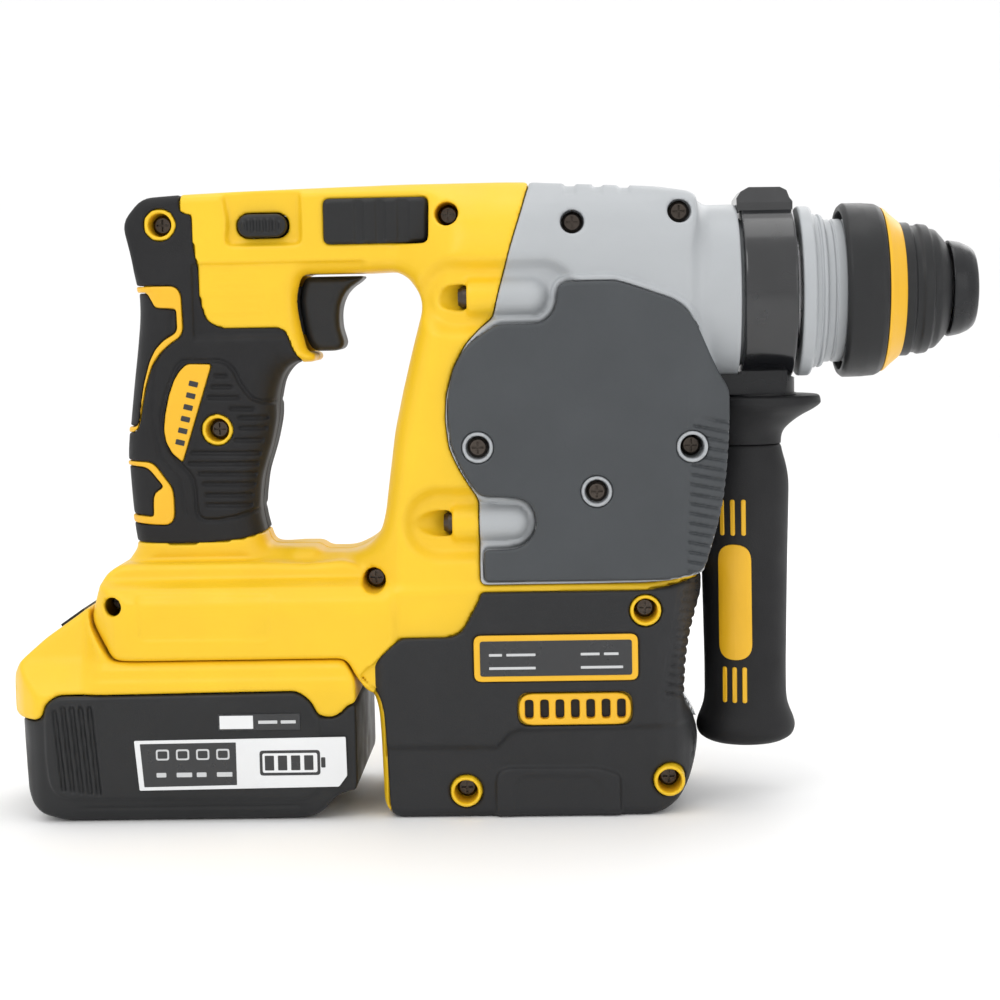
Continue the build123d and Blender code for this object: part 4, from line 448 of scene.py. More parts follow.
# ------------------------------------------------------------------ outlines (x, z) in millimetres
SIL = [
    (-291.5, 36.6), (-276, 37.6), (-257, 38.3), (-229, 39), (-201, 39.6), (-166, 39.7), (-156.2, 39.5), (-145, 38.8), (-113, 37.2), (-105.7, 36),
    (-98.6, 34.8), (-98.6, -95.4), (-101.5, -96.8), (-110, -98.4), (-118, -99.0), (-175.0, -102),
    (-222, -106), (-222, -96), (-252, -96), (-295, -96), (-301.5, -90.7), (-297.7, -86.1),
    (-298.6, -80.7), (-299.6, -69.8), (-300.4, -53), (-299.4, -43), (-297.4, -27),
    (-295.9, -16.3), (-294.6, -5), (-294.6, 8), (-295.8, 16.1), (-298.6, 28.1),
]
OPENING = [
    (-236.5, 9.2), (-238.6, 0), (-237.4, -8), (-235.2, -17.6), (-232.0, -19.0), (-232.4, -21.4),
    (-241.2, -21.7), (-245.2, -27), (-247, -35), (-247, -41), (-249.1, -50.4), (-252.6, -61),
    (-254, -71.6), (-253.4, -77), (-250.9, -86.5), (-233.5, -86.8), (-231.0, -88.8),
    (-221.5, -89.0), (-214.5, -86), (-209.7, -80.5), (-207.9, -74), (-206.9, -66.5),
    (-205.7, -57.8), (-204, -45.5), (-200.9, -31.7), (-197.4, -17.8), (-193.6, -4.1),
    (-194.4, 1.5), (-198.5, 7.2), (-203.4, 9.6), (-213, 9.2),
]
CREASE = [(-156, 60), (-158.5, 38), (-166, 31.5), (-176.3, 22.8), (-183.4, 11.1), (-186.4, -0.8), (-190.5, -22), (-194.7, -38), (-199, -60), (-202, -80), (-203, -120), (-80, -120), (-80, 60)]
GRIP_RUB = [
    (-277.9, 48), (-320, 48), (-320, -83.5), (-290.6, -84.3), (-281.7, -84.6), (-271, -84.4), (-260.4, -83.4), (-249, -80.8),
    (-240, -80), (-240, -21.4), (-236.2, -21.4), (-239.4, -17.8), (-241.7, -11.2), (-244.1, -9.2), (-265.1, -9), (-270, -6.1),
    (-271.9, 0.9), (-272.2, 12.7), (-273.4, 18.3), (-273.7, 30.6), (-277.9, 31.2),
]
FOOT = [
    (-301.5, -90.7), (-307.2, -94.4), (-310.4, -103), (-312.3, -109.3), (-311.3, -112.5),
    (-303.3, -123.5), (-222, -123.5), (-218.5, -130.4), (-214, -136), (-205, -136), (-205, -98),
    (-222, -90.4), (-236, -91.5), (-252, -90.7),
]
MOTOR = [
    (-175.3, -99.0), (-118, -99.0), (-110, -98.6), (-101.5, -97.0), (-98.0, -95.8), (-98.0, -104.8), (-100.2, -110.5), (-102.6, -117.6),
    (-104.0, -125), (-104.9, -134), (-105.0, -142), (-102.8, -145.5), (-100.5, -151), (-99.8, -156),
    (-100.6, -161.5), (-102.8, -168.5), (-106.4, -174.6), (-111, -178.2), (-117, -180),
    (-206, -180), (-210.2, -176), (-210.9, -151), (-211.5, -142), (-213.2, -136.6),
    (-218.5, -130.4), (-218.5, -112), (-210, -99),
]
CASE = [
    (-156.2, 60), (-80, 60), (-80, -94.2), (-98.6, -95.3),
    (-101.5, -96.5), (-110, -98.1), (-118, -98.6), (-175.0, -98.6), (-175.2, -69.5), (-178, -64.7), (-181.9, -58.1),
    (-184.9, -51.2), (-186, -41.6), (-185.5, -33), (-182.9, -23.9), (-178.7, -16.1),
    (-173.5, -10.5), (-169.3, -7.2), (-165.6, 7.3), (-162.7, 17.4), (-159.1, 29), (-156.2, 39.5),
]
PAD_R = [
    (-167.9, -9.2), (-153.0, -9.1), (-150.3, -7.5), (-148.2, -4.8), (-147.3, -1.5), (-147.1, 1.9), (-146.0, 3.9), (-143.6, 4.8), (-132.5, 5.0),
    (-127.4, 4.9), (-122.4, 3.4), (-108.3, -1.5), (-104.3, -4.0), (-101.6, -7.4), (-99.0, -11.8), (-95.0, -21.0), (-91.7, -27.8),
    (-89.3, -31.6), (-88.5, -34.0), (-88.5, -43.1), (-89.0, -53.3), (-89.8, -61.9), (-90.9, -70.4), (-92.9, -78.9), (-95.1, -85.7), (-97.2, -92.6),
    (-98.6, -94.6), (-101.5, -95.8), (-110.0, -97.4), (-120.3, -97.8), (-173.7, -97.6), (-173.9, -86.2), (-164.6, -86.0), (-161.2, -85.4), (-157.7, -83.0),
    (-155.9, -79.6), (-155.5, -76.9), (-156.2, -73.4), (-158.2, -70.3), (-161.5, -68.9), (-174.5, -68.0), (-177.2, -64.9), (-181.2, -57.9),
    (-184.4, -50.0), (-185.2, -41.5), (-185.1, -33.0), (-183.2, -24.5), (-179.6, -17.8), (-175.1, -13.8), (-170.7, -10.8),
]
PAD_L = [p for p in PAD_R if p[0] <= -99.0]
CHEEK = [
    (-104, -8), (-99.2, -12), (-95.2, -21), (-91.9, -27.8), (-88.9, -34), (-88.6, -43), (-89.2, -53.3),
    (-90.0, -61.9), (-91.2, -70.4), (-93.0, -78.9), (-95.3, -86.5), (-97.9, -94.0), (-99.2, -95.0), (-104, -95.6),
]
SKIN = [
    (-218.0, -130.0), (-205.0, -118.3), (-202.5, -116.6), (-185.9, -116.5), (-182.4, -115.2),
    (-180.3, -112.4), (-175.3, -103.1), (-174.9, -101.0), (-118, -101.0), (-111.7, -100.3),
    (-103.1, -98.8), (-88.0, -96.0), (-88.0, -195.0), (-205.6, -195), (-208.1, -174.9), (-208.7, -159.4), (-208.9, -150.5), (-209.4, -142.4), (-210.6, -137.5), (-213.3, -133.2),
]
TOPCASE = [
    (-304.0, -123.8), (-311.9, -112.9), (-312.9, -109.6), (-312.8, -106.2), (-314.0, -106.2), (-318.0, -109.1), (-328.4, -116.2), (-336.7, -123.4),
    (-342.4, -130.6), (-344.0, -136.5), (-343.6, -143.5), (-330.6, -143.6), (-328.1, -142.2), (-327.2, -138.7), (-325.4, -136.6), (-322.2, -134.9),
    (-239.6, -134.3), (-236.9, -135.7), (-234.2, -138.2), (-231.9, -143.1), (-227.0, -143.5), (-224.2, -142.2), (-221.7, -139.4), (-218.9, -138.7),
    (-219.0, -130.8), (-221.0, -127.0), (-223.0, -123.8),
]
LOWCASE = [
    (-337.6, -143.6), (-335.7, -169.4), (-333.5, -174.0), (-329.0, -177.2), (-322.0, -179.8), (-318, -180), (-240.0, -180), (-234.8, -179.0),
    (-231.3, -177.0), (-228.4, -173.5), (-225.8, -171.1), (-223.0, -170.0), (-219.5, -169.4), (-218.9, -167.0), (-218.9, -138.9), (-221.7, -139.6),
    (-224.2, -142.4), (-227.0, -143.7), (-231.9, -143.3), (-234.2, -138.4), (-236.9, -135.9), (-239.6, -134.5), (-322.2, -135.1), (-325.4, -136.8),
    (-327.2, -138.9), (-328.1, -142.4), (-330.6, -143.8),
]
INLAY1_OUT = [(-310, 6.1), (-281.3, 5.9), (-279.3, 4.8), (-278.3, 2.4), (-278.0, -9.4), (-279.1, -11.9), (-282.7, -14.2), (-286.3, -17.3), (-289.3, -21.5), (-291.7, -28.4), (-293.3, -35.4), (-294.2, -40.7), (-295.4, -44.1), (-297.2, -45.2), (-310, -45.6)]
INLAY1_IN = [(-310, 3.7), (-290.5, 3.7), (-287.6, -1.6), (-280.2, -2.1), (-280.1, -9.4), (-281.2, -10.8), (-285.1, -13.1), (-288.1, -16.2), (-290.3, -20.4), (-292.7, -28.4), (-294.0, -35.4), (-294.6, -40.6), (-295.7, -43.1), (-310, -43.3)]
INLAY2_OUT = [(-310, -54.7), (-291.2, -55.5), (-289.1, -56.9), (-286.1, -61.2), (-283.7, -64.5), (-283.1, -67.3), (-283.0, -74.4), (-283.8, -76.8), (-285.6, -77.9), (-292.0, -77.6), (-310, -76.3)]
INLAY2_IN = [(-310, -56.4), (-293.4, -57.2), (-291.3, -58.3), (-286.6, -64.4), (-289.8, -66.5), (-290.4, -68.9), (-290.5, -75.0), (-293.6, -74.6), (-310, -73.8)]
BOX1 = [(-288.1, 3.2), (-281.2, 3.0), (-280.8, 0.6), (-286.4, 0.5)]
BADGE = [(-277.0, -21.3), (-268.2, -21.5), (-279.5, -56.0), (-283.3, -52.5), (-285.3, -48.5), (-285.9, -44.3), (-285.3, -39.0), (-283.7, -32.1), (-281.7, -26.8), (-279.5, -23.4)]
PADGROOVE = [(-253.6, -73.1), (-261.8, -75.4), (-267.8, -76.4), (-272.1, -76.3), (-274.2, -75.2), (-275.1, -72.7), (-275.3, -65.7), (-275.9, -62.1), (-277.2, -59.6), (-280.6, -56.0),
             (-284.3, -51.4), (-286.3, -47.8), (-286.9, -43.6), (-286.4, -38.0), (-284.7, -32.0), (-282.4, -26.1), (-280.5, -22.3), (-278.4, -20.3), (-265.3, -20.5), (-262.6, -21.6),
             (-260.5, -24.1), (-258.6, -28.3), (-256.5, -31.5), (-254.2, -34.0), (-251.0, -35.1), (-240, -35.6)]
SLOTS = [((-266.9, -25.7), (-263.4, -25.8)), ((-268.1, -29.5), (-261.8, -29.6)), ((-269.6, -33.2), (-259.4, -33.4)), ((-261.8, -37.3), (-254.3, -37.5)),
         ((-259.0, -40.5), (-249.9, -40.7)), ((-258.7, -44.1), (-250.6, -44.2)), ((-260.6, -48.3), (-252.0, -48.4)), ((-275.9, -52.6), (-253.0, -53.0)),
         ((-277.1, -56.3), (-254.0, -56.7)), ((-273.7, -60.0), (-254.8, -60.4)), ((-272.0, -63.6), (-255.4, -63.9)), ((-271.4, -67.5), (-256.2, -67.8)),
         ((-271.2, -71.0), (-256.6, -71.3))]
S_HANDLE = [(-285.0, 27.1), (-184.6, 28.7), (-267.0, -44.6)]
S_FOOT = [(-212.1, -97.1), (-303.0, -104.6)]
S_MOTOR = [(-118.5, -108.0), (-181.3, -170.5), (-110.9, -167.5)]
S_CASE = [(-141.6, 25.0), (-101.9, -52.0), (-105.0, 28.0)]
S_FRAME = [(-175.0, -51.1), (-134.6, -66.8)]
TOWERS = [(0.0, -178.0, -149.5), (-77.5, -184.5, -156.0)]


def round2(g, c, r):
    return np.sqrt((g.X - c[0]) ** 2 + (g.Z - c[1]) ** 2) - r


def upper_field(g, case_only=False):
    X, Z = g.X, g.Z
    dS = g.d("sil", SIL, 4)
    dO = g.d("opening", OPENING, 3)
    sil = np.maximum(dS, -dO)
    dC = g.d("crease", CREASE, 9)
    H = smax(np.full_like(dS, 17.5), 34.5 - 0.80 * (softp(dC, 2.2)), 2.5)
    H = H - 1.3 * sstep(13.9, 12.7, Z) * sstep(-275, -273.6, X) * sstep(-212, -216, X) * sstep(-14, -11, Z)
    for tz, x0, x1 in TOWERS:
        L = seg2((x0 - 4, tz), (x1 - 3, tz), X, Z)
        H = H - 4.8 * sstep(15.0, 8.4, L)
    Ht = si(Z, [-300, 4, 10, 16, 21, 26, 30, 33.5, 36.6, 39.7], [34.5, 34.5, 34.2, 33.3, 31.8, 29.3, 26.2, 22.8, 18.6, 14.0], 2.0) + 0 * X
    Hf = si(X, [-300, -106, -102.5, -100, -98.4], [34.5, 34.5, 33.6, 31.6, 28.6], 1.4) + 0 * Z
    H = smin(smin(H, Ht, 2), Hf, 1.5)
    grip = sstep(-240, -246, X) * sstep(12, 0, Z)
    R = 3.2 + 2.6 * np.exp(-(np.maximum(dO, 0) / 10.0) ** 2) * (1 - grip) + 6.5 * grip
    R = np.minimum(R, H - 1).astype(np.float32)
    f = rint(U(sil), g.a - U(H), U(R))
    return f


def tower_field(g):
    f = None
    for tz, x0, x1 in TOWERS:
        yy, zz = g.a - 27.0, g.z - tz
        rr = np.sqrt(yy * yy + zz * zz) - 7.0
        body = rint(np.maximum(rr, x0 - g.x), g.x - (x1 - 7.0), 0.8)
        ball = np.sqrt(yy * yy + zz * zz + (g.x - (x1 - 7.0)) ** 2) - 7.0
        t = np.minimum(rint(rr, x0 - g.x, 0.9) if False else np.maximum(rint(rr, x0 - g.x, 0.9), g.x - (x1 - 7.0)), ball)
        f = t if f is None else np.minimum(f, t)
    return f


def housing_field(g):
    X, Z = g.X, g.Z
    f = upper_field(g)
    dF = g.d("foot", FOOT, 3)
    Hf = smin(si(Z, [-140, -108, -103.5, -98, -96.6, -90], [36.5, 36.5, 35.6, 31.6, 25.6, 24.5], 0.9) + 0 * X,
              si(X, [-314, -309, -303.5, -296, -200], [22, 28, 34, 36.5, 36.5], 2) + 0 * Z, 2)
    ff = rint(U(dF), g.a - U(Hf), 2.2)
    f = runi(f, ff, 2.0)
    dM = g.d("motor", MOTOR, 3)
    Hm = si(X, [-223, -214, -207, -117, -108, -102, -98], [19, 29.5, 34.5, 34.5, 30.6, 23.5, 15], 1.6) + 0 * Z
    fm = rint(U(dM), g.a - U(Hm), 3.0)
    f = runi(f, fm, 2.2)
    return f


def cyl_y(g, c, r, floor):
    """Round hole along Y from the outside down to half width floor."""
    return rint(U(round2(g, c, r)), floor - g.a, 0.3)


def handle_shell(g, holes):
    X, Z = g.X, g.Z
    f = housing_field(g)
    f = runi(f, tower_field(g), 1.6)
    f0 = f
    # recess round the direction button
    dR = d2(sm([(-264.6, 37.6), (-238, 37.6), (-236, 33), (-236, 19.6), (-262.2, 19.6), (-260.8, 28)], 2.5), X, Z)
    dR2 = d2(sm([(-265.6, 50), (-236, 50), (-235.4, 33), (-235.4, 19.2), (-262.6, 19.2), (-261.6, 28)], 3), X, Z)
    depth = 2.6 * sstep(0.4, -1.3, dR2)
    f = np.maximum(f, g.a - U(17.5 - depth)) if False else np.maximum(f, np.where(U(dR2) < 0.6, g.a - U(17.5 - depth), -50))
    slot = seg2((-254.2, 26.2), (-244.2, 26.2), X, Z) - 4.3
    # seat of the ribbed pad
    dP = d2(sm(rrect(-228.2, -191.0, 18.9, 35.3), 2.5), X, Z)
    f = rdiff(f, rint(U(dP), 16.4 - g.a, 0.2), 0.3)
    # shallow panel on the foot and a textured panel above it
    dPn = d2(sm([(-294.1, -100.5), (-247.4, -101.2), (-248.5, -116.5), (-293.2, -115.9)], 1.6), X, Z)
    f = f + U((0.55 * sstep(0.35, -0.35, dPn) * (Z < -90)).astype(np.float32))
    dTx = d2(sm(rrect(-269, -249.6, -6.4, 12.6), 1.5), X, Z)
    f = f + U((0.4 * sstep(0.2, -0.5, dTx) * (np.abs((Z + 0.9) / 1.9 - np.round((Z + 0.9) / 1.9)) < 0.27)).astype(np.float32))
    # steps under the rubber
    dG = g.d("griprub", GRIP_RUB, 2)
    dK = g.d("skin", SKIN, 2)
    rings = np.minimum.reduce([round2(g, c, 5.4) for c in S_HANDLE + S_MOTOR])
    stepg = 2.3 * ((dG < 0) & (rings > 0))
    stepk = 1.7 * ((dK < 0) & (rings > 0) & (Z < -94))
    f = f + U((stepg + stepk).astype(np.float32))
    for c in S_MOTOR:
        b = rint(U(round2(g, c, 5.4)), g.a - 36.75, 0.7)
        b = np.maximum(b, 25 - g.a)
        f = np.minimum(f, b)
    for c in (S_HANDLE[0], S_HANDLE[2]):
        b = np.maximum(rint(U(round2(g, c, 5.4)), g.a - 17.8, 0.7), 10 - g.a)
        f = np.minimum(f, b)
    # tower screw recesses
    inner = f0 + 4.0 + U((stepg + stepk).astype(np.float32)) * 0.5
    f = np.maximum(f, -inner)
    f = np.maximum(f, -slot[:, None, :])
    # opening for the trigger
    f = np.maximum(f, -rint(np.maximum(U(d2(rrect(-250, -226, -18.2, 8.9), X, Z)), g.a - 10.3), g.a - 10.3, 0.2))
    # window for the louvres and open underside for the battery rails
    dV = d2(sm(rrect(-161.6, -124.8, -146.5, -137.3), 4), X, Z)
    f = np.maximum(f, -rint(U(dV), 22 - g.a, 0.2))
    dB = d2(rrect(-330, -236, -140, -119.5), X, Z)
    f = np.maximum(f, -np.maximum(U(dB), g.a - 30.0))
    # tube round each screw hole, then the hole
    for lst, fl in ((S_HANDLE, 8.5), ([S_FOOT[0]], 17.0), (S_MOTOR, 25.5)):
        for c in lst:
            tube = np.maximum(U(round2(g, c, 5.3)), f0)
            if holes:
                f = np.minimum(f, np.maximum(tube, fl - 2 - g.a))
                f = rdiff(f, rint(U(round2(g, c, 4.1)), fl - g.a, 0.2), 0.55)
    if holes:
        f = rdiff(f, rint(U(round2(g, S_FOOT[1], 3.3)), 17 - g.a, 0.2), 0.4)
    for tz, x0, x1 in TOWERS:
        rr = np.sqrt((g.a - 27) ** 2 + (g.z - tz) ** 2)
        back = np.maximum(x0 - g.x, 0)
        ln = 13.0 if tz == 0 else 15.5
        tap = np.sqrt((g.a - 27 - 0.36 * back) ** 2 + (g.z - tz) ** 2) - 4.45 * np.sqrt(np.maximum(1 - (back / ln) ** 2, 0))
        fill = np.maximum(np.maximum(np.sqrt((g.a - 25) ** 2 + (g.z - tz) ** 2) - 8.6, np.abs(g.x - (x0 - 8)) - 11), f0 + U((stepg + stepk).astype(np.float32)))
        f = np.minimum(f, fill)
        f = rdiff(f, np.maximum(tap, g.x - (x0 + 0.2)), 0.5)
        f = np.maximum(f, -np.maximum(rr - 4.3, np.abs(g.x - (x0 + 7.5)) - 8.0))
    # everything in front of the joint with the gear case goes
    dK2 = g.d("case", CASE, 2)
    f = rint(f, -(U(dK2)) + 0.14, 0.5)
    f = np.maximum(f, -lens_pocket(g))
    f = rint(f, g.y + 0.07, 0.4)
    return f


def lens_pocket(g):
    return np.maximum(np.maximum(g.x + 90, -112 - g.x), np.maximum(np.maximum(g.z + 141.3, -150.7 - g.z), g.a - 7.4))


gR = Grid(-314, -96.4, -38.2, 1.2, -181.2, 41.2, 0.78)
fR = handle_shell(gR, True)
nets_piece("right_casing", fR, gR, "yellow", "housing", ["right_handle_shell"])
fL = handle_shell(gR, False)
nets_piece("left_casing", fL, gR, "yellow", "housing", ["left_handle_shell"], mirror=True)
del fR, fL

# ------------------------------------------------------------------ rubber over the grip
gG = Grid(-303, -233, -19.6, 1.0, -87, 39.5, 0.5)
X, Z = gG.X, gG.Z
f0 = upper_field(gG)
dG = gG.d("griprub", GRIP_RUB, 2)
ring = np.minimum(round2(gG, S_HANDLE[0], 5.55), round2(gG, S_HANDLE[2], 5.55))
in1, in2 = d2(sm(INLAY1_OUT, 1.5), X, Z), d2(sm(INLAY2_OUT, 1.5), X, Z)
ii1, ii2 = d2(sm(INLAY1_IN, 1.2), X, Z), d2(sm(INLAY2_IN, 1.2), X, Z)
yel1, yel2 = np.maximum(in1, -ii1), np.maximum(in2, -ii2)
badge = d2(sm(BADGE, 1.2), X, Z)
rub = np.maximum(dG, -ring)
for cut in (yel1, yel2, badge):
    rub = np.maximum(rub, -cut)
disp = np.zeros_like(dG)
gl = polyline(PADGROOVE, X, Z)
padin = d2(PADGROOVE, X, Z)
disp = disp + 0.55 * sstep(0.9, -0.9, padin) - 0.95 * sstep(1.0, 0.25, gl)
for a, b in SLOTS:
    s = seg2(a, b, X, Z)
    disp = disp - 0.95 * sstep(1.15, 0.35, s)
ridge = polyline([(-280.5, 2), (-283.5, -12), (-288.5, -22), (-290.0, -40), (-287.5, -54), (-281, -62), (-279.0, -74)], X, Z)
disp = disp - 0.5 * sstep(0.9, 0.2, np.abs(ridge - 0.0)) * (padin > 1.5)
disp = disp + 0.5 * sstep(0.4, -0.4, d2(sm(BOX1, 0.6), X, Z)) - 0.4 * ((ii1 < 0) | (ii2 < 0))
side = sstep(6, 12, gG.a)
fs = f0 - U(disp) * side
fr = np.maximum(fs, -(f0 + 2.15))
fr = rint(fr, U(rub) + 0.14, 0.55)
fr = np.maximum(fr, -np.maximum(U(d2(rrect(-252, -226, -18.4, 9.0), X, Z)), gG.a - 10.4))
V, Q = nets(rint(fr, gG.y + 0.07, 0.4), gG)
mesh_piece("grip_cover_right", V, Q, "rubber", "housing", ["grip_rubber_right"])
mesh_piece("grip_cover_left", V * np.array([1, -1, 1]), Q[:, ::-1], "rubber", "housing", ["grip_rubber_left"])
yl = np.minimum(np.minimum(yel1, yel2), badge)
fy = np.maximum(f0 - 0.28 * side, -(f0 + 1.7))
fy = rint(fy, U(yl) + 0.10, 0.4)
fy = rint(fy, gG.y + 0.07, 0.3)
both_piece("grip_inlays", fy, gG, "yellow_trim", "housing")
for k in range(6):
    t = (k + 0.5) / 6
    ax_, az_ = -274.6 - 6.4 * t, -26.0 - 24.5 * t
    plate("badge_bar_%d" % k, [(ax_ - 1.5, az_ - 0.8), (ax_ + 1.6, az_ - 1.6), (ax_ + 2.1, az_ + 0.2), (ax_ - 1.0, az_ + 1.0)], 17.4, 17.92, "label_dark", "housing", r=0.3, ch=0.05)

# ------------------------------------------------------------------ gear case
def case_field(g, cheek):
    X, Z = g.X, g.Z
    f = upper_field(g)
    rr = np.sqrt(g.y ** 2 + g.z ** 2)
    sh = rint(np.maximum(rr - 30.9, -112 - g.x), g.x + 84.1, 0.8)
    f = runi(f, sh, 5.0)
    f = np.minimum(f, np.maximum(np.maximum(rr - 25.4, -100 - g.x), g.x + 63.05))
    if cheek:
        dH = d2(sm(CHEEK, 3), X, Z)
        Hc = si(X, [-110, -103, -96, -88.4], [34.4, 34.3, 32.4, 28.6], 1.0) + 0 * Z
        c = rint(rint(U(dH), g.a - U(Hc), 1.0), 17.6 - g.a, 2.0)
        c = np.maximum(c, 19.5 + 0.9 * (g.x + 92.4) - g.a)
        f = runi(f, c, 1.2)
    return f


def case_shell(g, right_side):
    X, Z = g.X, g.Z
    f = case_field(g, right_side)
    dP = d2(sm(PAD_R if right_side else PAD_L, 2), X, Z)
    f0 = f
    # raised rim round the rubber pad, only on the flat of the side
    rim = 1.7 * sstep(2.4, 1.7, dP) * sstep(-0.3, 0.2, dP) * sstep(-97.5, -99.5, X) * sstep(12, 7, Z)
    f = f - U(rim) * sstep(24, 28, g.a)
    f = runi(f, tower_field(g), 1.4)
    # ribs on the roof
    roof = 0.9 * (sstep(-144.4, -143.8, X) * sstep(-139.8, -140.4, X) + sstep(-134.6, -134.0, X) * sstep(-130.8, -131.4, X) + sstep(-125.6, -125.0, X) * sstep(-121.4, -122.0, X))
    f = f + U(roof * sstep(33.5, 35.5, Z) + 0 * Z)
    for c in S_FRAME + [(-101.9, -52.0)]:
        b = np.maximum(rint(U(round2(g, c, 5.35)), g.a - 36.7, 0.7), 30 - g.a)
        f = np.minimum(f, b)
    inner = np.maximum(f0, -(f0 + 3.2))
    f = np.maximum(f, -(f0 + 3.2))
    rr = np.sqrt(g.y ** 2 + g.z ** 2)
    f = np.maximum(f, -np.maximum(rr - 20.2, -104 - g.x))
    for c, fl, on in ((S_CASE[0], 20, right_side), (S_CASE[2], 20, right_side), (S_CASE[1], 24, right_side), (S_FRAME[0], 31.8, True), (S_FRAME[1], 31.8, True)):
        if on:
            tube = np.maximum(np.maximum(U(round2(g, c, 5.3)), f0 - (2.0 if c[1] < 0 else 0)), fl - 2 - g.a)
            f = np.minimum(f, np.maximum(tube, g.a - 36.6))
            f = rdiff(f, rint(U(round2(g, c, 4.1)), fl - g.a, 0.2), 0.55)
    dK = g.d("case", CASE, 2)
    f = rint(f, U(dK) + 0.14, 0.6)
    if not right_side:
        f = np.maximum(f, -np.maximum(U(round2(g, (-132.0, -24.0), 4.7)), 26 - g.a))
    f = rint(f, g.y + 0.07, 0.4)
    return f


gC = Grid(-188, -61.5, -38.0, 1.2, -100.4, 41.2, 0.66)
nets_piece("gear_cover_right", case_shell(gC, True), gC, "grey", "housing", ["gear_case_right"])
nets_piece("gear_cover_left", case_shell(gC, False), gC, "grey", "housing", ["gear_case_left"], mirror=True)


# ------------------------------------------------------------------ rubber pads on the case
def case_pad(g, right_side):
    X, Z = g.X, g.Z
    dP = d2(sm(PAD_R if right_side else PAD_L, 2), X, Z)
    Hp = si(X, [-190, -103.4, -96, -88.2], [36.5, 36.5, 34.6, 30.6] if right_side else [36.5, 36.5, 36.0, 36.0], 1.0) + 0 * Z
    xc = np.interp(Z, [-140, -96, -45, 0], [-106, -105.0, -102.6, -101.6])
    ph = (Z + 0.22 * (X + 100)) / 3.35
    tri = np.abs(ph - np.round(ph)) * 2
    zone = sstep(0.2, 1.4, X - xc) * sstep(-41, -44, Z)
    groove = 1.0 * sstep(0.62, 0.86, tri) * zone
    crease = 0.4 * sstep(1.2, 0.2, np.abs(X - xc)) * sstep(-30, -44, Z)
    Hq = Hp - groove - crease
    f = rint(U(dP) + 0.16, g.a - U(Hq), 1.2)
    f = np.maximum(f, U(Hp) - 2.0 - g.a)
    rings = np.minimum.reduce([round2(g, c, 5.5) for c in S_FRAME + [(-101.9, -52.0)]])
    f = np.maximum(f, -U(rings))
    if not right_side:
        f = np.maximum(f, -U(round2(g, (-132.0, -24.0), 15.6)))
    return f


gP = Grid(-187, -86.5, -38.0, -26.5, -99.5, 6.8, 0.5)
Va, Qa = nets(case_pad(gP, True), gP)
Vb, Qb = nets(case_pad(gP, False), gP)
mesh_piece("case_pad_covers", Va, Qa, "pad", "housing", ["case_pads"])
mesh_piece("case_pad_cover_left", Vb * np.array([1, -1, 1]), Qb[:, ::-1], "pad", "housing", ())

# ------------------------------------------------------------------ rubber skin on the motor housing
gM = Grid(-219.5, -96.5, -38.0, 1.0, -181.4, -94.5, 0.62)
X, Z = gM.X, gM.Z
dM = gM.d("motor", MOTOR, 3)
dK = gM.d("skin", SKIN, 2)
Hm0 = si(X, [-223, -214, -207, -117, -108, -102, -98], [19, 29.5, 34.5, 34.5, 30.6, 23.5, 15], 1.6) + 0 * Z
Ho = si(X, [-223, -216, -209, -114, -107, -102, -98], [21, 31.5, 36.5, 36.5, 32.6, 25.0, 15], 1.6) + 0 * Z
zl = np.interp(X, [-215, -170.4, -165.8, -162.3, -110, -95], [-153, -153.4, -148.5, -147.3, -146.6, -146.0]) + 0 * Z
led = 1.7 * sstep(0.0, -3.2, Z - zl)
bp = d2(sm([(-170.6, -192), (-170.6, -166.4), (-169.5, -163.6), (-166.0, -162.6), (-134.9, -163.0), (-128.1, -165.2), (-128.1, -192)], 2), X, Z)
bi = d2(sm([(-165.2, -192), (-164.4, -168.3), (-161.9, -165.1), (-138.4, -165.4), (-134.3, -168.3), (-133.7, -192)], 2), X, Z)
Hq = Ho - led + 1.5 * sstep(1.0, -0.4, bp) - 0.35 * sstep(0.5, -0.5, bi)
Hq = np.minimum(Hq, 36.5)
xc = np.interp(Z, [-181, -139, -103, -95], [-112, -113.6, -106.6, -104.0]) + 0 * X
ph = (Z + 0.30 * (X + 105)) / 3.35
tri = np.abs(ph - np.round(ph)) * 2
zone = sstep(0.3, 1.6, X - xc) * sstep(-141.5, -138.5, Z)
Hr = 1.1 * sstep(0.62, 0.86, tri) * zone + 0.35 * sstep(1.2, 0.2, np.abs(X - xc)) * sstep(-145, -138, Z)
fm = rint(U(dM), gM.a - U(Hq), 3.4)
fm = fm + U(Hr) * sstep(12, 17, gM.a)
fi = rint(U(dM), gM.a - U(Hm0), 3.0)
f = np.maximum(fm, -(fi + 1.62))
cut = np.minimum.reduce([round2(gM, c, 5.55) for c in S_MOTOR])
cut = np.minimum(cut, d2(sm(rrect(-162.9, -123.5, -147.7, -136.1), 4), X, Z))
f = rint(f, U(np.maximum(dK, -cut)) + 0.14, 0.7)
f = rdiff(f, rint(U(d2(sm(rrect(-178.1, -120.9, -132.2, -115.6), 2.6), X, Z)), 35.6 - gM.a, 0.2), 0.3)
f = np.maximum(f, -lens_pocket(gM))
f = rint(f, gM.y + 0.07, 0.4)
V, Q = nets(f, gM)
mesh_piece("motor_cover_right", V, Q, "motor", "housing", ["motor_skins"])
mesh_piece("motor_cover_left", V * np.array([1, -1, 1]), Q[:, ::-1], "motor", "housing", ())

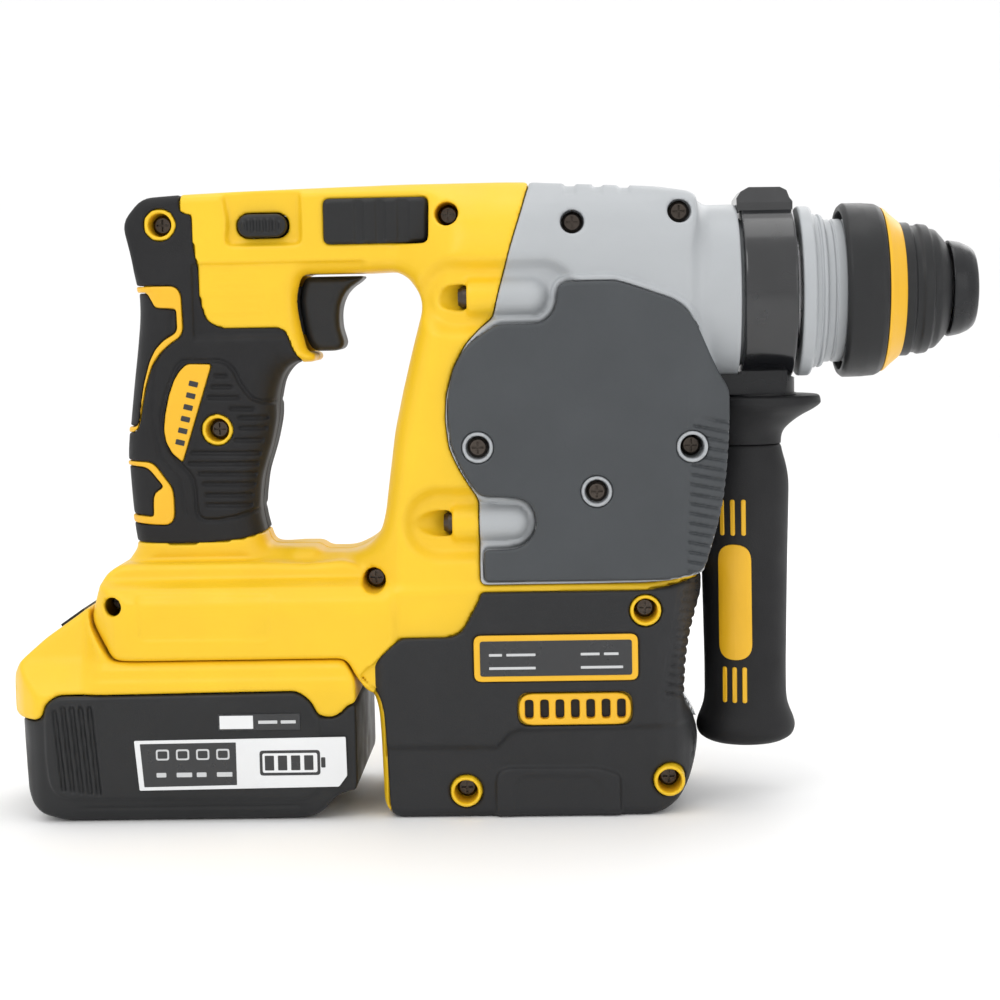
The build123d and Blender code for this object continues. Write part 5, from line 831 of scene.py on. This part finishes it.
# ------------------------------------------------------------------ louvres, plates, ribbed pads
gV = Grid(-164, -122.5, -37.2, -30.5, -149, -135, 0.3)
dv = d2(sm(rrect(-162.6, -123.8, -147.4, -136.4), 5), gV.X, gV.Z)
f = rint(U(dv), gV.a - 36.35, 0.8)
f = np.maximum(f, 31.6 - gV.a)
sl = None
for k in range(7):
    c = -159.0 + 5.3 * k
    s = d2(sm(rrect(c - 1.5, c + 1.5, -145.3, -138.5), 1.2), gV.X, gV.Z)
    sl = s if sl is None else np.minimum(sl, s)
f = rdiff(f, rint(U(sl), 32.8 - gV.a, 0.2), 0.5)
both_piece("louvre_frames", f, gV, "yellow_trim", "housing", ["vent_louvres"])
# painted shade: a black sheet over the floor of the louvre slots stands in for the shade inside the vent openings
plate("louvre_shade_backs", rrect(-161.6, -124.8, -146.0, -137.8), 32.0, 33.2, "black", "housing", r=2)

plate("name_plate_frames", rrect(-177.7, -121.3, -131.9, -115.9), 35.7, 36.9, "yellow_trim", "housing", ["name_plates"], r=2.6, ch=0.25)
plate("name_plate_faces", rrect(-175.6, -123.4, -130.0, -117.8), 36.7, 37.15, "label_dark", "housing", r=1.0, ch=0.1)
for k, (x0, x1, zz) in enumerate(((-172.5, -168.0, -122.6), (-166.5, -156.5, -122.6), (-141.0, -134.5, -122.6), (-133.0, -128.0, -122.6), (-172.5, -156.5, -127.2), (-141.0, -126.5, -127.2))):
    plate("name_plate_bar_%d" % k, rrect(x0, x1, zz - 0.45, zz + 0.45), 37.0, 37.19, "print_grey", "housing", r=0.2, ch=0.03)

gB = Grid(-229.5, -190, -20.4, -15.5, 17.5, 36.6, 0.36)
dp = d2(sm(rrect(-227.9, -191.3, 19.2, 35.0), 2.4), gB.X, gB.Z)
rib = 0
for c, w in ((-222.5, 5.6), (-211.7, 2.2), (-204.2, 2.2), (-194.8, 3.2)):
    rib = rib + 1.25 * sstep(w + 0.7, w - 0.7, np.abs(gB.X - c)) * sstep(0, -1.6, dp)
rib = rib * sstep(8.4, 6.8, np.abs(gB.Z - 27.1))
f = rint(U(dp), gB.a - U(18.0 + 0.55 * rib), 0.7)
f = np.maximum(f, 16.5 - gB.a)
both_piece("ribbed_pad_covers", f, gB, "black", "housing", ["ribbed_pads"])

# ------------------------------------------------------------------ trigger and direction button
TRIG = [(-214.8, 8.3), (-216.4, 6.6), (-219.8, 4.4), (-222.1, 1.9), (-223.6, -1.8), (-224.1, -5.3), (-223.9, -9.9), (-222.8, -13.4),
        (-222.4, -15.4), (-223.4, -17.3), (-225.9, -17.9), (-233.2, -17.9), (-235.6, -14.6), (-237.0, -8), (-238.0, 0), (-237.0, 5.5), (-235.4, 8.3)]
full = Grid(-247.5, -213.0, -11.0, 11.0, -19.2, 9.8, 0.4)
dt = d2(sm(TRIG, 3), full.X, full.Z)
f = rint(U(dt), full.a - 9.6, 3.4)
f = np.minimum(f, rint(U(d2(rrect(-246, -236, -12, 5), full.X, full.Z)), full.a - 7.0, 0.5))
nets_piece("trigger_cover", f, full, "black", "trigger_lever", ["trigger"])

full = Grid(-259, -239.4, -20.0, 20.0, 21.2, 31.2, 0.35)
dl = seg2((-253.8, 26.2), (-244.6, 26.2), full.X, full.Z) - 4.0
bumpy = 0.7 * sstep(0.8, 0.2, np.abs((full.X + 249.2) / 2.2 - np.round((full.X + 249.2) / 2.2)) * 2.2) * sstep(-1.4, -2.2, dl)
f = rint(U(dl), full.a - U(18.2 + bumpy), 1.2)
nets_piece("direction_button_cover", f, full, "black", "direction_selector", ["direction_button"])

# ------------------------------------------------------------------ battery
gA2 = Grid(-345.5, -217.5, -39.2, 39.2, -145.5, -104.8, 0.78)
X, Z = gA2.X, gA2.Z
dA = d2(sm(TOPCASE, 2.2), X, Z)
Hx = si(X, [-346, -344, -342, -339, -336, -331, -325, -200], [3, 9, 18, 26, 31.5, 36, 38, 38], 1.2) + 0 * Z
Hz1 = si(Z, [-146, -134.2, -132.0, -130.4, -129.4, -126.4, -125.2, -123.9], [38, 38, 37.6, 37.2, 36.4, 36.2, 35.4, 34.6], 0.5) + 0 * X
Hz2 = si(Z, [-146, -136.5, -131, -123.4, -106], [38, 37.4, 34.0, 28.5, 23], 1.5) + 0 * X
wz = sstep(-306, -316, X)
H = smin(Hx, Hz1 * (1 - wz) + Hz2 * wz, 1.5)
f0 = rint(U(dA), gA2.a - U(H), 1.5)
f = np.maximum(f0, -(f0 + 2.7))
f = np.maximum(f, -np.maximum(np.maximum(gA2.z + 133.6, gA2.a - U(H - 2.7)), np.maximum(-340.8 - gA2.x, gA2.x + 221.5)))
f = np.maximum(f, -np.maximum(gA2.a - 11.2, U(d2([(-317.4, -106.5), (-328.2, -113.7), (-321.8, -123.4), (-311.2, -116.2)], X, Z))))
nets_piece("battery_upper_shell", f, gA2, "yellow", "battery", ["battery_top_case"])

gL = Grid(-339.2, -217.3, -39.2, 39.2, -181.4, -133.2, 0.64)
X, Z = gL.X, gL.Z
dL = d2(sm(LOWCASE, 2.2), X, Z)
Hx = si(X, [-340, -337.6, -334.4, -330, -324, -200], [19, 27, 33, 36.6, 38, 38], 1.5) + 0 * Z
Hb = si(Z, [-182, -179.5, -176.5, -172.5, -100], [32.0, 34.4, 36.8, 38, 38], 1.0) + 0 * X
H = smin(Hx, Hb, 1.0)
panel = d2(sm([(-327.0, -120), (-326.9, -157.0), (-325.9, -165.8), (-323.6, -169.4), (-320.1, -170.8), (-238.9, -171.8), (-235.4, -171.2), (-232.6, -168.7), (-231.8, -165.2), (-231.9, -120)], 3), X, Z)
H = H - 0.9 * sstep(-0.2, 0.9, panel)
for k in range(5):
    x0 = -323.6 + 3.05 * k
    s = seg2((x0, -140.5 + 1.2 * min(k, 1)), (x0 + 2.3, -167.6 - 0.4 * k), X, Z)
    H = H - 1.3 * sstep(1.3, 0.35, s)
H = H - 0.5 * sstep(0.8, 0.2, np.abs(Z + 174.6)) * sstep(-318, -314, X) * sstep(-236, -240, X)
f0 = rint(U(dL), gL.a - U(H), 1.6)
f = np.maximum(f0, -(f0 + 2.5))
f = np.maximum(f, -np.maximum(np.maximum(-160 - gL.z, gL.a - U(H - 2.6)), np.maximum(-334.6 - gL.x, gL.x + 222)))
nets_piece("battery_lower_shell", f, gL, "black", "battery", ["battery_bottom_case"])

plate("battery_label_base", [(-296.0, -150.7), (-222.5, -150.2), (-222.3, -163.8), (-225.2, -167.6), (-294.6, -168.2)], 37.6, 38.16, "label_white", "battery", ["battery_labels"], r=0.5, ch=0.05)
plate("battery_label_dark", [(-294.0, -151.8), (-260.6, -151.6), (-260.6, -166.6), (-292.9, -167.0)], 38.0, 38.22, "label_dark", "battery", r=0.3, ch=0.03)
for k in range(4):
    x0 = -288.5 + 7.0 * k
    plate("label_icon_%d" % k, rrect(x0, x0 + 4.6, -157.6, -153.8), 38.15, 38.27, "print_grey", "battery", r=0.9, ch=0.03)
    plate("label_icon_in_%d" % k, rrect(x0 + 0.6, x0 + 4.0, -157.0, -154.4), 38.2, 38.31, "label_dark", "battery", r=0.6, ch=0.03)
    plate("label_dash_%d" % k, rrect(x0, x0 + (5.4 if k % 2 else 3.4), -163.6, -162.0), 38.15, 38.27, "print_grey", "battery", r=0.3, ch=0.03)
# generic charge symbol on the white field
plate("label_cell_body", rrect(-252.5, -231.5, -163.4, -154.6), 38.1, 38.24, "label_dark", "battery", r=1.2, ch=0.03)
plate("label_cell_field", rrect(-251.5, -232.5, -162.4, -155.6), 38.2, 38.28, "label_white", "battery", r=0.7, ch=0.03)
plate("label_cell_nub", rrect(-231.2, -229.7, -160.8, -157.2), 38.1, 38.24, "label_dark", "battery", r=0.4, ch=0.03)
for k in range(4):
    plate("label_cell_bar_%d" % k, rrect(-250.7 + 4.55 * k, -247.5 + 4.55 * k, -161.6, -156.4), 38.2, 38.33, "label_dark", "battery", r=0.3, ch=0.03)
plate("bar_label_base", rrect(-266.6, -238.1, -147.4, -141.8), 37.6, 38.14, "label_dark", "battery", r=0.3, ch=0.03)
plate("bar_label_white", rrect(-266.0, -254.4, -146.9, -142.3), 38.0, 38.2, "label_white", "battery", r=0.2, ch=0.03)
plate("bar_label_dash", rrect(-252.6, -246.0, -145.2, -144.1), 38.0, 38.2, "print_grey", "battery", r=0.2, ch=0.03)
plate("bar_label_dash_b", rrect(-244.8, -239.6, -145.2, -144.1), 38.0, 38.2, "print_grey", "battery", r=0.2, ch=0.03)

# ------------------------------------------------------------------ tool holder
def knurl(n, dep, x0, x1):
    def w(A, R, th):
        band = ((A > x0) & (A < x1) & (R > 20)).astype(float)
        return -dep * band * (np.abs(np.sin(n * th / 2)) < 0.22)
    return w


lathe("holder_sleeve", [(-48.0, 27.8), (-48.0, 29.4), (-46.6, 30.6), (-40, 30.5), (-35.6, 30.1), (-33.9, 29.2), (-33.2, 28.0), (-33.2, 23.0), (-27.0, 23.0),
                        (-27.0, 23.5), (-23.8, 23.4), (-23.0, 22.3), (-21.2, 22.3), (-20.4, 22.9), (-17.4, 22.5), (-16.6, 21.2), (-14.6, 20.9), (-13.8, 20.2), (-12.2, 18.4), (-10.6, 16.4), (-10.0, 15.0), (-10.0, 12.4),
                        (-20.0, 12.4), (-20.0, 14.6), (-28.0, 14.6), (-28.0, 12.4), (-31.0, 12.4), (-31.0, 20.4), (-35.1, 20.4), (-35.6, 25.9), (-43.4, 26.8), (-45.0, 27.8)],
      "black", "sleeve", rep=["locking_sleeve"], r=0.5, segs=180)
lathe("holder_ring", [(-33.4, 23.02), (-33.4, 28.9), (-32.4, 28.5), (-30.4, 26.6), (-27.4, 24.1), (-26.9, 23.6), (-26.9, 23.02)], "yellow_trim", "sleeve", rep=["sleeve_ring"], r=0.3)
lathe("holder_nose", [(-9.7, 16.9), (-8.6, 16.8), (-5.4, 16.2), (-2.4, 14.9), (-0.7, 13.4), (-0.3, 12.0), (-0.3, 8.7), (-1.4, 8.26), (-8.95, 8.26), (-8.95, 12.35), (-9.7, 12.35)],
      "black_smooth", "spindle_line", rep=["nose_cap"], r=0.9)
lathe("collar_rings", [(-62.95, 20.3), (-62.95, 29.3), (-62.4, 29.8), (-59.0, 29.8), (-58.3, 29.3), (-58.2, 27.6), (-57.6, 27.1), (-56.6, 27.1), (-56.2, 26.5), (-55.8, 26.5), (-55.4, 27.0), (-54.6, 26.9), (-54.1, 26.4),
                       (-54.0, 25.4), (-53.4, 25.1), (-51.6, 25.1), (-51.2, 24.6), (-50.8, 24.6), (-50.4, 25.1), (-47.6, 25.1), (-47.2, 24.7), (-46.8, 24.7), (-46.4, 25.1), (-44.9, 25.1), (-44.2, 24.5), (-44.2, 20.3)],
      "grey", "housing", rep=["neck_rings"], r=0.35, segs=180)

# ------------------------------------------------------------------ side handle
lathe("band_cover", [(-82.9, 25.9), (-82.9, 29.9), (-82.2, 30.4), (-65.4, 30.4), (-64.7, 29.9), (-64.7, 25.9)], "gloss", "side_handle", rep=["clamp_band"], r=0.5, segs=180)


def z_loft(name, rings, mat, body, rep=(), segs=96, sub=5, bore=None):
    """Rings of (z, centre x, centre y, rx, ry) joined by a smooth surface, closed at both ends."""
    R = np.array(rings, float)
    n = len(R)
    t = np.arange(n)
    tt = np.linspace(0, n - 1, (n - 1) * sub + 1)
    out = np.zeros((len(tt), 5))
    for k, u in enumerate(tt):
        i = min(int(u), n - 2)
        w = u - i
        p0, p1, p2, p3 = R[max(i - 1, 0)], R[i], R[i + 1], R[min(i + 2, n - 1)]
        out[k] = 0.5 * (2 * p1 + (p2 - p0) * w + (2 * p0 - 5 * p1 + 4 * p2 - p3) * w * w + (3 * p1 - p0 - 3 * p2 + p3) * w ** 3)
    th = np.linspace(0, 2 * np.pi, segs, endpoint=False)
    L = len(out)
    V = np.zeros((L, segs, 3))
    V[:, :, 0] = out[:, 1:2] + out[:, 3:4] * np.cos(th)
    V[:, :, 1] = out[:, 2:3] + out[:, 4:5] * np.sin(th)
    V[:, :, 2] = out[:, 0:1]
    faces = []
    for i in range(L - 1):
        for j in range(segs):
            faces.append([i * segs + j, i * segs + (j + 1) % segs, (i + 1) * segs + (j + 1) % segs, (i + 1) * segs + j])
    top = list(range(segs))
    bot = [(L - 1) * segs + j for j in range(segs)]
    up_ = out[0, 0] < out[-1, 0]
    if not up_:
        faces = [q[::-1] for q in faces]
        faces += [top, bot[::-1]]
    else:
        faces += [top[::-1], bot]
    me = bpy.data.meshes.new(name)
    me.from_pydata([tuple(v * 0.001) for v in V.reshape(-1, 3)], [], faces)
    me.polygons.foreach_set("use_smooth", [True] * len(me.polygons))
    me.materials.append(M[mat])
    ob = bpy.data.objects.new(name, me)
    bpy.context.scene.collection.objects.link(ob)
    md = ob.modifiers.new("edges", "WEIGHTED_NORMAL")
    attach(ob, body)
    if rep:
        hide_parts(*rep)
    return ob


GX = -81.6
z_loft("guard_cover", [(-36.4, -76.2, 0, 20.9, 20.9), (-36.9, -76.1, 0, 21.5, 21.5), (-38.2, -76.0, 0, 21.8, 21.8), (-39.6, -76.1, 0, 21.7, 21.7), (-41.4, -77.0, 0, 20.2, 20.2), (-43.4, -78.6, 0, 18.0, 18.0),
                       (-45.6, -80.0, 0, 16.1, 16.1), (-48.2, -81.2, 0, 14.4, 14.4), (-50.6, -81.5, 0, 13.5, 13.5), (-53.4, -81.6, 0, 13.3, 13.3)],
       "rubber", "side_handle", rep=["hand_guard"])
lathe("grip_cover", [(-53.6, 4.2), (-53.6, 12.9), (-54.6, 13.4), (-57, 13.9), (-60, 14.8), (-63.5, 15.5), (-66.5, 15.9), (-70, 15.95), (-78, 15.75),
                     (-95, 15.3), (-115, 14.9), (-132, 14.6), (-143, 14.6), (-146.4, 15.0), (-149, 15.8), (-152, 17.1),
                     (-154.6, 17.8), (-156.8, 17.4), (-158.4, 16.5), (-160.2, 13.6), (-160.9, 9.0), (-161.2, 4.0), (-161.2, 0.05), (-79, 0.05), (-79, 4.2)],
      "rubber", "grip", axis="z", cen=(GX, 0), rep=["side_grip"], r=1.6)


def on_grip(name, phi0, zc, half_w, half_h, rad, mat, r=None, thick=0.7, n=18):
    """Raised lozenge wrapped on the side grip, phi0 degrees from the right side towards the rear."""
    def R_at(z):
        return np.interp(z, [-161, -143, -132, -115, -95, -78, -70, -63.5], [17, 14.6, 14.6, 14.9, 15.3, 15.75, 15.95, 15.5])
    r = half_w if r is None else r
    P = np.array(sm([(-half_w, -half_h), (half_w, -half_h), (half_w, half_h), (-half_w, half_h)], r * 0.9999, 10))
    V, F = [], []
    lv = [(1.0, -1.0), (1.0, thick - 0.25), (1 - 0.22 / half_w, thick)]
    k = len(P)
    for sc, dh in lv:
        for px, pz in P:
            ux, uz = px * sc, pz * (1 - (1 - sc) * half_w / half_h)
            z = zc + uz
            R = R_at(z) + dh
            ph = math.radians(phi0) + ux / R_at(z)
            V.append((GX - R * math.sin(ph), -R * math.cos(ph), z))
    for l in range(2):
        for i in range(k):
            j = (i + 1) % k
            F.append([l * k + i, l * k + j, (l + 1) * k + j, (l + 1) * k + i])
    # cap as nested rings so that it follows the curve
    base = 2 * k
    for s in (0.66, 0.33):
        for px, pz in P:
            ux, uz = px * s, pz * s
            z = zc + uz
            R = R_at(z) + thick
            ph = math.radians(phi0) + ux / R_at(z)
            V.append((GX - R * math.sin(ph), -R * math.cos(ph), z))
        nb = len(V) - k
        for i in range(k):
            j = (i + 1) % k
            F.append([base + i, base + j, nb + j, nb + i])
        base = nb
    R = R_at(zc) + thick
    V.append((GX - R * math.sin(math.radians(phi0)), -R * math.cos(math.radians(phi0)), zc))
    cI = len(V) - 1
    for i in range(k):
        F.append([base + i, base + (i + 1) % k, cI])
    F.append([i for i in range(k)][::-1])
    me = bpy.data.meshes.new(name)
    me.from_pydata([tuple(np.array(v) * 0.001) for v in V], [], F)
    me.validate()
    me.polygons.foreach_set("use_smooth", [True] * len(me.polygons))
    me.materials.append(M[mat])
    ob = bpy.data.objects.new(name, me)
    bpy.context.scene.collection.objects.link(ob)
    ob.modifiers.new("edges", "WEIGHTED_NORMAL")
    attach(ob, "grip")
    return ob


ov = on_grip("grip_inlay_cover", 18.0, -108.8, 5.9, 20.6, 5.9, "yellow_trim", thick=0.8)
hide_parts("side_grip_inlay")
for nm, zc, hh in (("upper", -78.7, 6.4), ("lower", -138.4, 6.4)):
    for k, ph in enumerate((34.0, 19.5, 5.5)):
        o = on_grip("grip_dash_%s_%d" % (nm, k), ph, zc, 0.85, hh, 0.8, "yellow_trim", thick=0.35)

# ------------------------------------------------------------------ finish on the CAD nodes that stay
KEEP = {
    "spindle": "steel", "locking_balls": "steel", "chuck_spring": "steel", "piston": "steel", "wrist_pin": "steel", "con_rod": "steel",
    "crank_pin": "steel", "striker": "steel", "beat_piece": "steel", "motor_shaft": "steel", "crank": "steel", "clutch_shaft": "steel",
    "ring_gear": "steel", "bearings": "steel", "trigger_spring": "steel", "latch_spring": "steel", "handle_bolt": "steel", "motor_rotor": "steel",
    "casing_screws": "screw", "tower_screws": "screw", "gear_frame": "alloy", "motor_stator": "copper", "controller_board": "board",
    "led_lens": "lens", "battery_cells": "cell", "front_seal": "rubber", "battery_terminal": "copper", "mode_knob": "black",
    "latch_button": "black", "terminal_block": "black", "trigger_switch": "black_smooth", "clamp_base": "black_smooth", "clamp_saddle": "gloss",
    "grip_washer": "black_smooth", "motor_fan": "black", "cell_holder": "black",
}
for nm, mt in KEEP.items():
    ob = NODES[nm]
    ob.data.materials.clear()
    ob.data.materials.append(M[mt])
for nm in ("clamp_saddle", "clamp_base", "mode_knob", "latch_button"):
    bv = NODES[nm].modifiers.new("soft_edges", "BEVEL")
    bv.width = 0.0006
    bv.segments = 3
    bv.limit_method = "ANGLE"
    bv.angle_limit = math.radians(35)
    NODES[nm].modifiers.new("normals", "WEIGHTED_NORMAL")

# ------------------------------------------------------------------ floor and light
me = bpy.data.meshes.new("floor")
S = 6.0
prof = [(-S, -0.18), (1.2, -0.18)]
for k in range(1, 13):
    a = math.radians(90 * k / 12)
    prof.append((1.2 + 0.8 * math.sin(a), -0.18 + 0.8 - 0.8 * math.cos(a)))
prof.append((2.0, 5.0))
V, F = [], []
for y, z in prof:
    V += [(-S, y, z), (S, y, z)]
for k in range(len(prof) - 1):
    F.append((2 * k, 2 * k + 1, 2 * k + 3, 2 * k + 2))
me.from_pydata(V, [], F)
me.polygons.foreach_set("use_smooth", [True] * len(F))
fm_, fnt, fbs = new_mat("pale_floor")
fbs.inputs["Base Color"].default_value = (0.94, 0.94, 0.94, 1)
fbs.inputs["Roughness"].default_value = 0.6
me.materials.append(fm_)
floor = bpy.data.objects.new("floor", me)
bpy.context.scene.collection.objects.link(floor)

bpy.context.scene.view_settings.view_transform = "Standard"
w = bpy.data.worlds.new("studio")
bpy.context.scene.world = w
w.use_nodes = True
w.node_tree.nodes["Background"].inputs[0].default_value = (1, 1, 1, 1)
w.node_tree.nodes["Background"].inputs[1].default_value = 1.0


def area(name, loc, aim, size, power, col=(1, 1, 1)):
    d = bpy.data.lights.new(name, "AREA")
    d.shape = "RECTANGLE"
    d.size, d.size_y = size
    d.energy = power
    d.color = col
    o = bpy.data.objects.new(name, d)
    o.location = loc
    o.rotation_euler = (Vector(aim) - Vector(loc)).to_track_quat("-Z", "Y").to_euler()
    bpy.context.scene.collection.objects.link(o)


area("key", (-0.75, -1.0, 0.95), (-0.17, 0, -0.05), (0.9, 0.7), 4.6)
area("fill", (0.75, -1.1, 0.35), (-0.15, 0, -0.07), (0.8, 0.9), 1.6)
area("top", (-0.17, 0.1, 1.2), (-0.17, 0, 0), (1.1, 0.8), 3.6)
area("rim", (0.3, 0.9, 0.6), (-0.15, 0, 0), (0.7, 0.7), 2.5)
